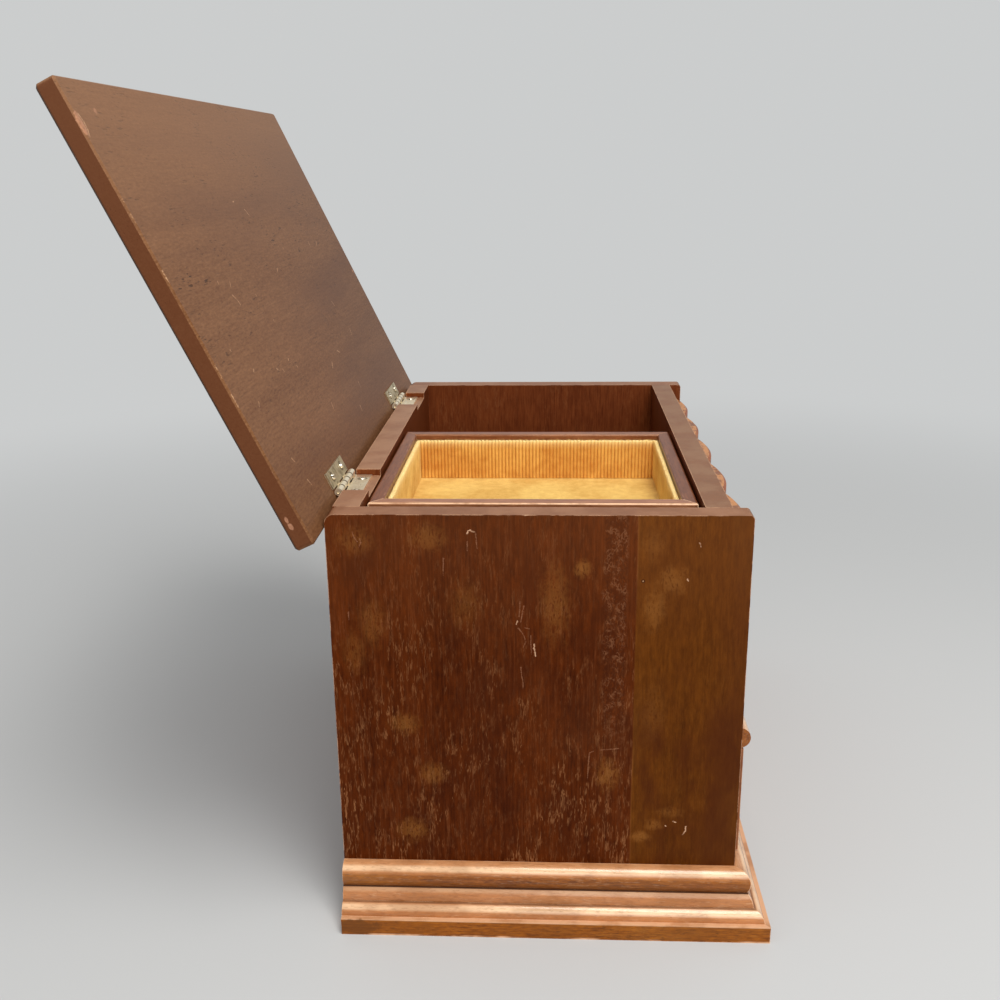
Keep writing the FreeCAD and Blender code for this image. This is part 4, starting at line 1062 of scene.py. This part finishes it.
def joined(tree, *pieces):
    """Several geometries as one. The join has a single socket that takes many links."""
    join = node(tree, "GeometryNodeJoinGeometry")
    for piece in pieces:
        tree.links.new(piece, join.inputs[0])
    return join.outputs[0]


def keep(tree, geometry, name, value):
    """Keep a value on each point, under a name that a material can read."""
    kept = {"Geometry": geometry, "Name": name, "Value": value}
    return node(tree, "GeometryNodeStoreNamedAttribute", kept, data_type="FLOAT", domain="POINT").outputs[0]


def plain_object(name, mesh):
    thing = bpy.data.objects.new(name, mesh)
    bpy.context.scene.collection.objects.link(thing)
    return thing


def grow(name, tree, start, **values):
    """Run a tree on a starting mesh, and keep the result as a plain mesh of its own."""
    seed = plain_object(name + "_start", start)
    modifier = seed.modifiers.new("grow", "NODES")
    modifier.node_group = tree
    for item in tree.interface.items_tree:
        label = item.name.replace(" ", "_")
        if item.item_type == "SOCKET" and item.in_out == "INPUT" and label in values:
            modifier[item.identifier] = values[label]
    seed.update_tag()
    bpy.context.view_layer.update()
    graph = bpy.context.evaluated_depsgraph_get()
    ready = seed.evaluated_get(graph)
    mesh = bpy.data.meshes.new_from_object(ready, preserve_all_data_layers=True, depsgraph=graph)
    seed.modifiers.clear()
    bpy.data.objects.remove(seed)
    mesh.name = name
    return plain_object(name, mesh)


def mesh_of(name, points, edges=(), faces=()):
    mesh = bpy.data.meshes.new(name)
    mesh.from_pydata(points, edges, faces)
    return mesh


def face_outwards(thing):
    """Close the seams and turn every face of a closed piece outwards."""
    work = bmesh.new()
    work.from_mesh(thing.data)
    bmesh.ops.remove_doubles(work, verts=work.verts, dist=0.000002)
    bmesh.ops.recalc_face_normals(work, faces=work.faces)
    work.to_mesh(thing.data)
    work.free()
    return thing


print("geometry tree helpers ready")

# %% [markdown]
# ## Slotted screws
#
# Each hinge leaf is held by two small countersunk screws. The head is a cone with a low crown and
# a slot cut in it, and the shank below it goes into the wood. One screw is made inside the tree
# from primitives and two booleans, then put on each point of the starting mesh, and each one is
# turned by its own amount, as nobody lines up eight slots.

# %% The screw tree
SCREW_HEAD = 0.0017
SCREW_SHANK = 0.0009
SINK = 0.0001
LEAF_THICK = 0.0010
SCREW_LONG = 0.0070
SCREW_SIDES = 28
SHANK_SIDES = 16

screw_tree, screw_in, screw_out = geometry_tree(
    "slotted screws",
    [("Head", "length", SCREW_HEAD), ("Shank", "length", SCREW_SHANK),
     ("Countersink", "length", LEAF_THICK), ("Long", "length", SCREW_LONG), ("Rise", "length", 0.0004),
     ("Slot", "place", (0.0045, 0.0008, 0.0030)), ("Lean", "place", (0.0, 0.0, 0.0)),
     ("Seed", "whole", 3), ("Material", "material", None)],
)


def build_screws(tree, given, out):
    sides = {"Vertices": SCREW_SIDES}
    lowered = times(tree, given["Countersink"], -1.0)
    cone = {"Radius Top": given["Head"], "Radius Bottom": given["Shank"], "Depth": given["Countersink"]}
    head = lifted(tree, node(tree, "GeometryNodeMeshCone", {**sides, **cone}).outputs["Mesh"], lowered)
    cone = {"Radius Top": times(tree, given["Head"], 0.72), "Radius Bottom": times(tree, given["Head"], 0.99),
            "Depth": plus(tree, given["Rise"], SINK)}
    crown = lifted(tree, node(tree, "GeometryNodeMeshCone", {**sides, **cone}).outputs["Mesh"], -SINK)
    whole = node(tree, "GeometryNodeMeshBoolean", operation="UNION")
    tree.links.new(head, whole.inputs["Mesh 2"])
    tree.links.new(crown, whole.inputs["Mesh 2"])
    cutter = node(tree, "GeometryNodeMeshCube", {"Size": given["Slot"]}).outputs["Mesh"]
    cut = {"Mesh 1": whole.outputs[0], "Mesh 2": cutter}
    slotted = node(tree, "GeometryNodeMeshBoolean", cut, operation="DIFFERENCE").outputs[0]
    reach = minus(tree, given["Long"], given["Countersink"])
    round_bar = {"Vertices": SHANK_SIDES, "Radius": times(tree, given["Shank"], 0.97), "Depth": reach}
    shank = node(tree, "GeometryNodeMeshCylinder", round_bar).outputs["Mesh"]
    shank = lifted(tree, shank, minus(tree, lowered, times(tree, reach, 0.5)))
    screw = joined(tree, slotted, shank)
    points = node(tree, "GeometryNodeMeshToPoints", {"Mesh": given["Geometry"]}).outputs[0]
    turn = node(tree, "FunctionNodeRandomValue", {"Max": math.pi, "Seed": given["Seed"]}, data_type="FLOAT")
    copies = {"Points": points, "Instance": screw, "Rotation": given["Lean"]}
    placed = node(tree, "GeometryNodeInstanceOnPoints", copies).outputs[0]
    twist = {"Instances": placed, "Rotation": along_z(tree, turn.outputs[1]), "Local Space": True}
    twisted = node(tree, "GeometryNodeRotateInstances", twist).outputs[0]
    finish_tree(tree, twisted, given["Material"], out)


build_screws(screw_tree, screw_in, screw_out)
print("screw tree:", len(screw_tree.nodes), "nodes")

# %% The screws of the fixed leaves and the moving leaves
for name, body, heads, leaf_up, rise in (("fixed_leaf_screws", "case", FIXED_HEADS, FIXED_UP, 0.0004),
                                         ("moving_leaf_screws", "lid", MOVING_HEADS, MOVING_UP, 0.0009)):
    lean = Vector((0, 0, 1)).rotation_difference(leaf_up).to_euler()
    screws = grow("slotted_" + name, screw_tree, mesh_of(name + "_points", heads), Lean=tuple(lean),
                  Rise=rise, Material=screw_metal)
    face_outwards(screws)
    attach(screws, body)
    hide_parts(name)
    print(screws.name, "screws:", len(heads), "faces:", len(screws.data.polygons))

# %% [markdown]
# ## The corduroy of the tray
#
# The tray is lined with golden corduroy: a strip of it is bent round the inside of the four
# walls, and a piece lies on the floor. The ribs of the strip stand upright, about two millimetres
# apart, and its cut top edge is pale and hairy. The tree takes the outline of the strip's cut end
# as its starting mesh and carries it along a rounded rectangle. A grid of points is wrapped on
# the two, and each point on the inner side moves by a rib's height. The rib, and how near a point
# is to the cut edge, are kept as attributes, so the material can colour the valleys and the edge
# without any picture.

# %% The tree of the ribbed strip
RIB_PITCH = 0.0021
RIB_HIGH = 0.0007
COLUMNS_A_RIB = 8

strip_tree, strip_in, strip_out = geometry_tree(
    "ribbed strip",
    [("Wide", "length", 0.13), ("Deep", "length", 0.14), ("Corner", "length", 0.0014),
     ("Ribs", "whole", 370), ("Columns", "whole", 2220), ("Rows", "whole", 14),
     ("Rib High", "length", RIB_HIGH), ("Half Thick", "length", 0.001), ("Tall", "length", 0.02),
     ("Material", "material", None)],
)


def rib_height(tree, along, ribs):
    """How high the ribs stand at a share of the way along, from nought in a valley to one on a crest."""
    wave = maths(tree, "SINE", times(tree, along, ribs, math.pi))
    return maths(tree, "POWER", absolute(tree, wave), 0.7)


def build_strip(tree, given, out):
    corners = node(tree, "GeometryNodeCurvePrimitiveQuadrilateral",
                   {"Width": given["Wide"], "Height": given["Deep"]})
    path = node(tree, "GeometryNodeFilletCurve",
                {"Curve": corners.outputs[0], "Radius": given["Corner"], "Count": 4}, mode="POLY")
    columns = plus(tree, given["Columns"], 1.0)
    rows = plus(tree, given["Rows"], 1.0)
    grid = node(tree, "GeometryNodeMeshGrid",
                {"Size X": 1.0, "Size Y": 1.0, "Vertices X": columns, "Vertices Y": rows})
    along, round_end, _ = parts(tree, grid.outputs["UV Map"])
    on_path = node(tree, "GeometryNodeSampleCurve", {"Curves": path.outputs[0], "Factor": along},
                   mode="FACTOR")
    spot = on_path.outputs["Position"]
    start_at = node(tree, "GeometryNodeInputPosition").outputs[0]
    row = maths(tree, "MODULO", maths(tree, "ROUND", times(tree, round_end, given["Rows"])), given["Rows"])
    at_row = {"Geometry": given["Geometry"], "Value": start_at, "Index": row}
    end_point = node(tree, "GeometryNodeSampleIndex", at_row, data_type="FLOAT_VECTOR", domain="POINT")
    across, height, _ = parts(tree, end_point.outputs["Value"])
    outward = vector(tree, "CROSS_PRODUCT", on_path.outputs["Tangent"], (0.0, 0.0, 1.0))
    side = measure(tree, "DOT_PRODUCT", spot, outward)
    outward = scaled(tree, outward, maths(tree, "SIGN", side))
    rib = rib_height(tree, along, given["Ribs"])
    whole_thick = times(tree, given["Half Thick"], 2.0)
    inner = clamped(tree, maths(tree, "DIVIDE", minus(tree, given["Half Thick"], across), whole_thick))
    uneven = noise(tree, spot, 130.0, 3.0)
    inward = times(tree, rib, given["Rib High"], inner)
    inward = plus(tree, inward, times(tree, centred(tree, uneven, 0.0009), inner))
    moved = scaled(tree, outward, minus(tree, across, inward))
    near_top = remap(tree, maths(tree, "DIVIDE", height, given["Tall"]), 0.86, 0.98)
    frayed = noise(tree, spot, 900.0, 2.0)
    lift = plus(tree, times(tree, rib, 0.00035), centred(tree, frayed, 0.0011))
    raised = plus(tree, height, times(tree, lift, near_top))
    upright = along_z(tree, raised)
    place = vector(tree, "ADD", vector(tree, "ADD", spot, moved), upright)
    laid = node(tree, "GeometryNodeSetPosition",
                {"Geometry": grid.outputs["Mesh"], "Position": place}).outputs[0]
    named = keep(tree, laid, "rib", times(tree, rib, inner))
    named = keep(tree, named, "cut", near_top)
    finish_tree(tree, named, given["Material"], out)


build_strip(strip_tree, strip_in, strip_out)
print("strip tree:", len(strip_tree.nodes), "nodes")

# %% [markdown]
# ## The finish of the corduroy
#
# The cloth is painted darker between the ribs and paler on them, a painted shade in the valleys,
# and its cut edge is palest of all. Faces that look towards -X are painted a deeper orange, a painted
# stand-in for the pile seen straight on, where elsewhere more of its pale tips show. A little sheen
# on the shader gives a soft rim of light.

# %% The cloth's finish


def corduroy(name, deep, crest, pale, nap, straight_on):
    material, tree = blank_material(name)
    place = own_place(tree)
    rib = node(tree, "ShaderNodeAttribute", attribute_name="rib").outputs["Fac"]
    cut = node(tree, "ShaderNodeAttribute", attribute_name="cut").outputs["Fac"]
    mottled = noise(tree, place, 210.0, 5.0, 0.65)
    pile = noise(tree, place, 2600.0, 3.0, 0.7)
    brushed = remap(tree, noise(tree, place, 38.0, 3.0), 0.38, 0.6, 0.35, 0.8)
    # Darker in the valleys between the ribs and paler on their crests: a painted shade in the valleys.
    tone = plus(tree, times(tree, rib, brushed), centred(tree, mottled, 1.1))
    tone = clamped(tree, plus(tree, tone, centred(tree, pile, 0.6)))
    colour = blend(tree, tone, deep, crest)
    # Faces towards -X are painted deeper orange: a painted stand-in for the pile seen straight on, with less
    # of its pale sheen.
    facing = remap(tree, own_normal(tree)["X"], -0.1, -0.75, 0.0, straight_on)
    colour = blend(tree, facing, colour, blend(tree, tone, srgb(206, 132, 50), srgb(246, 190, 96)))
    colour = blend(tree, cut, colour, pale)
    fuzz = plus(tree, pile, times(tree, mottled, 0.5))
    relief = node(tree, "ShaderNodeBump", {"Strength": 1.0, "Distance": 0.00018, "Height": fuzz})
    shader = node(
        tree, "ShaderNodeBsdfPrincipled",
        {"Base Color": colour, "Roughness": 0.9, "Normal": relief.outputs[0], "Specular IOR Level": 0.1,
         "Sheen Weight": nap, "Sheen Roughness": 0.5, "Sheen Tint": (1.0, 0.85, 0.6)},
    )
    end_material(tree, shader)
    return material


lining_cloth = corduroy("golden corduroy", srgb(210, 170, 90), srgb(247, 220, 136),
                        srgb(252, 226, 158), 0.12, 0.95)
print("cloth ready:", lining_cloth.name)

# %% [markdown]
# ## The strip round the walls, and its hairy edge
#
# The cut end of the strip is a thin upright loop with a rounded top, written once and carried
# round. It stands a hair off the wood. The fibres at the edge are tiny three-sided cones,
# scattered on the faces that the cut attribute marks.

# %% The wall lining
WALL_LOW, WALL_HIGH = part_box("tray_wall_lining")
CLOTH_THICK = 0.0018
CLOTH_CLEAR = 0.0002


def cut_end(thick, tall):
    """The strip's cut end, once round: up the inner side, over the rounded top, down the outer side."""
    half, crown = thick / 2, thick * 0.45
    inner = [(-half, tall * share, 0.0) for share in (0.0, 0.2, 0.4, 0.6, 0.78, 0.9)]
    over = [(-half * math.cos(turn), tall - crown + crown * math.sin(turn), 0.0)
            for turn in (0.35, 0.8, 1.2, math.pi / 2, 2.0, 2.6)]
    return inner + over + [(half, tall * 0.85, 0.0), (half, 0.0, 0.0)]


def line_walls():
    low, high = WALL_LOW, WALL_HIGH
    inset = CLOTH_CLEAR + CLOTH_THICK / 2
    wide, deep = high.x - low.x - 2 * inset, high.y - low.y - 2 * inset
    tall = high.z - low.z
    ribs = round(2 * (wide + deep) / RIB_PITCH)
    outline = cut_end(CLOTH_THICK, tall)
    start = mesh_of("cut_end", outline, [(n, (n + 1) % len(outline)) for n in range(len(outline))])
    strip = grow("tray_wall_corduroy", strip_tree, start, Wide=wide, Deep=deep, Corner=CLOTH_THICK * 0.75,
                 Ribs=ribs, Columns=ribs * COLUMNS_A_RIB, Rows=len(outline), Half_Thick=CLOTH_THICK / 2,
                 Tall=tall, Material=lining_cloth)
    strip.data.transform(Matrix.Translation(((low.x + high.x) / 2, (low.y + high.y) / 2, low.z)))
    face_outwards(strip)
    return strip, (2 * (wide + deep), tall)


wall_cloth, wall_flat = line_walls()
print("wall lining: flat size", [round(v, 4) for v in wall_flat], "faces", len(wall_cloth.data.polygons))

# %% The fibres at the cut edge
fibre_tree, fibre_in, fibre_out = geometry_tree(
    "cut fibres",
    [("Density", "length", 2.0e6), ("Long", "length", 0.0011), ("Thick", "length", 0.00007),
     ("Seed", "whole", 11), ("Material", "material", None)],
)


def build_fibres(tree, given, out):
    cut = node(tree, "GeometryNodeInputNamedAttribute", {"Name": "cut"}, data_type="FLOAT").outputs[0]
    on_edge = node(tree, "FunctionNodeCompare", {"A": cut, "B": 0.55}, data_type="FLOAT",
                   operation="GREATER_THAN").outputs[0]
    spread = node(tree, "GeometryNodeDistributePointsOnFaces",
                  {"Mesh": given["Geometry"], "Selection": on_edge, "Density": given["Density"],
                   "Seed": given["Seed"]}, distribute_method="RANDOM")
    hair = node(tree, "GeometryNodeMeshCone", {"Vertices": 3, "Radius Top": times(tree, given["Thick"], 0.3),
                                               "Radius Bottom": given["Thick"],
                                               "Depth": given["Long"]}).outputs["Mesh"]
    lean = node(tree, "FunctionNodeRandomValue", {"Min": (-0.7, -0.7, -1.0), "Max": (0.7, 0.7, 1.0),
                                                  "Seed": given["Seed"]}, data_type="FLOAT_VECTOR")
    size = node(tree, "FunctionNodeRandomValue", {"Min": (0.6, 0.6, 0.35), "Max": (1.2, 1.2, 1.1),
                                                  "Seed": plus(tree, given["Seed"], 5.0)},
                data_type="FLOAT_VECTOR")
    placed = node(tree, "GeometryNodeInstanceOnPoints", {"Points": spread.outputs["Points"], "Instance": hair,
                                                         "Rotation": spread.outputs["Rotation"],
                                                         "Scale": size.outputs[0]})
    leaning = node(tree, "GeometryNodeRotateInstances",
                   {"Instances": placed.outputs[0], "Rotation": lean.outputs[0], "Local Space": True})
    finish_tree(tree, leaning.outputs[0], given["Material"], out)


build_fibres(fibre_tree, fibre_in, fibre_out)
fibre_cloth = corduroy("cut fibres", srgb(238, 196, 118), srgb(250, 216, 146), srgb(246, 208, 132), 0.1, 0.0)
wall_fibres = grow("tray_wall_fibres", fibre_tree, wall_cloth.data.copy(), Material=fibre_cloth)
for piece in (wall_cloth, wall_fibres):
    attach(piece, "tray")
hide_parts("tray_wall_lining")
print("fibres: faces", len(wall_fibres.data.polygons))

# %% [markdown]
# ## The pieces that lie flat
#
# The cloth on the tray's floor and on the drawer's bottom lies flat, with its ribs across the
# chest's short way. The tree makes a ribbed grid, drops a flat copy of it below and closes the
# sides by extruding, so the cloth has a real thickness.

# %% The tree of the ribbed sheet
sheet_tree, sheet_in, sheet_out = geometry_tree(
    "ribbed sheet",
    [("Long", "length", 0.13), ("Wide", "length", 0.14), ("Thick", "length", 0.0012),
     ("Ribs", "whole", 90), ("Columns", "whole", 540), ("Rows", "whole", 24),
     ("Rib High", "length", 0.0004), ("Wave", "length", 0.0003), ("Material", "material", None)],
)


def build_sheet(tree, given, out):
    grid = node(tree, "GeometryNodeMeshGrid", {"Size X": given["Long"], "Size Y": given["Wide"],
                                               "Vertices X": plus(tree, given["Columns"], 1.0),
                                               "Vertices Y": given["Rows"]})
    along, _, _ = parts(tree, grid.outputs["UV Map"])
    rib = rib_height(tree, along, given["Ribs"])
    named = keep(tree, grid.outputs["Mesh"], "rib", rib)
    thick = along_z(tree, given["Thick"])
    raised = node(tree, "GeometryNodeExtrudeMesh",
                  {"Mesh": named, "Offset": thick, "Offset Scale": 1.0, "Individual": False}, mode="FACES")
    where = node(tree, "GeometryNodeInputPosition").outputs[0]
    soft = noise(tree, where, 45.0, 3.0)
    kept = node(tree, "GeometryNodeInputNamedAttribute", {"Name": "rib"}, data_type="FLOAT").outputs[0]
    up = plus(tree, times(tree, kept, given["Rib High"]), centred(tree, soft, given["Wave"]))
    lift = along_z(tree, minus(tree, up, given["Rib High"]))
    shaped = node(tree, "GeometryNodeSetPosition", {"Geometry": raised.outputs["Mesh"],
                                                    "Selection": raised.outputs["Top"],
                                                    "Offset": lift}).outputs[0]
    below = node(tree, "GeometryNodeFlipFaces", {"Mesh": named}).outputs[0]
    finish_tree(tree, joined(tree, shaped, below), given["Material"], out)


build_sheet(sheet_tree, sheet_in, sheet_out)
print("sheet tree:", len(sheet_tree.nodes), "nodes")

# %% The floor of the tray and the bottom of the drawer


def lay_cloth(name, replaced, body, along_y, margin=0.0003):
    """A ribbed cloth in the place of a plain solid. Its ribs lie across X, or across Y if asked."""
    low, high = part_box(replaced)
    long, wide = high.x - low.x - 2 * margin, high.y - low.y - 2 * margin
    if along_y:
        long, wide = wide, long
    ribs = round(long / RIB_PITCH)
    start = mesh_of(name + "_start", [(0, 0, 0)])
    cloth = grow(name, sheet_tree, start, Long=long, Wide=wide, Thick=high.z - low.z, Ribs=ribs,
                 Columns=ribs * COLUMNS_A_RIB, Material=lining_cloth)
    if along_y:
        cloth.data.transform(Matrix.Rotation(math.pi / 2, 4, "Z"))
    cloth.data.transform(Matrix.Translation(((low.x + high.x) / 2, (low.y + high.y) / 2, low.z)))
    face_outwards(cloth)
    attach(cloth, body)
    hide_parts(replaced)
    print(name, "flat size", round(long, 4), round(wide, 4), "faces", len(cloth.data.polygons))
    return cloth


lay_cloth("tray_floor_corduroy", "tray_floor_lining", "tray", False)
lay_cloth("drawer_corduroy", "drawer_lining", "drawer", True)

# %% [markdown]
# ## Floor and light
#
# The chest stands on a plain pale floor. One soft lamp hangs above, between the chest and the
# camera, as a ceiling light does: it draws the bright line along the rounds of the moulding. A
# weaker and larger one stands behind the camera. The floor fades into an even background a little
# way from the chest, so no horizon shows, and rays that look for a reflection see it too.

# %% Floor, backdrop and lamps
BACKGROUND = (0.60, 0.61, 0.61)


def looked_at(tree):
    """One for rays from the camera, a reflection or a clear body, and nought for the light's own."""
    path = node(tree, "ShaderNodeLightPath").outputs
    return most(tree, path["Is Camera Ray"], path["Is Glossy Ray"], path["Is Transmission Ray"])


def pale_floor(reach=12.0):
    corners = [(-reach, -reach, 0), (reach, -reach, 0), (reach, reach, 0), (-reach, reach, 0)]
    floor = plain_object("floor", mesh_of("floor", corners, [], [(0, 1, 2, 3)]))
    material, tree = blank_material("pale floor")
    fade = remap(tree, measure(tree, "LENGTH", own_place(tree)), 0.35, 1.3)
    share = times(tree, fade, looked_at(tree))
    matt = node(tree, "ShaderNodeBsdfDiffuse", {"Color": BACKGROUND}).outputs[0]
    even = node(tree, "ShaderNodeEmission", {"Color": BACKGROUND, "Strength": 1.0}).outputs[0]
    end_material(tree, node(tree, "ShaderNodeMixShader", {0: share, 1: matt, 2: even}))
    floor.data.materials.append(material)


def soft_lamp(name, place, target, size, watts, tint=(1.0, 1.0, 1.0)):
    lamp = bpy.data.lights.new(name, "AREA")
    lamp.shape = "RECTANGLE"
    lamp.size, lamp.size_y = size
    lamp.energy = watts
    lamp.color = tint
    thing = bpy.data.objects.new(name, lamp)
    aim = (Vector(target) - Vector(place)).to_track_quat("-Z", "Y").to_matrix().to_4x4()
    thing.matrix_world = Matrix.Translation(place) @ aim
    bpy.context.scene.collection.objects.link(thing)
    return thing


def even_world():
    world = bpy.data.worlds.new("even room")
    bpy.context.scene.world = world
    world.use_nodes = True
    tree = world.node_tree
    tree.nodes.clear()
    room = node(tree, "ShaderNodeBackground", {"Color": (1.0, 1.0, 1.0), "Strength": 0.5}).outputs[0]
    behind = node(tree, "ShaderNodeBackground", {"Color": BACKGROUND, "Strength": 1.0}).outputs[0]
    mixed = node(tree, "ShaderNodeMixShader", {0: looked_at(tree), 1: room, 2: behind}).outputs[0]
    node(tree, "ShaderNodeOutputWorld", {0: mixed})


pale_floor()
even_world()
soft_lamp("ceiling light", (-0.55, -0.25, 1.45), (-0.05, 0.0, 0.1), (0.5, 0.8), 12.0, (1.0, 0.98, 0.95))
soft_lamp("room light", (-1.5, -0.45, 0.95), (0.0, 0.0, 0.15), (1.1, 1.1), 10.0)
scene = bpy.context.scene
scene.view_settings.view_transform = "Standard"
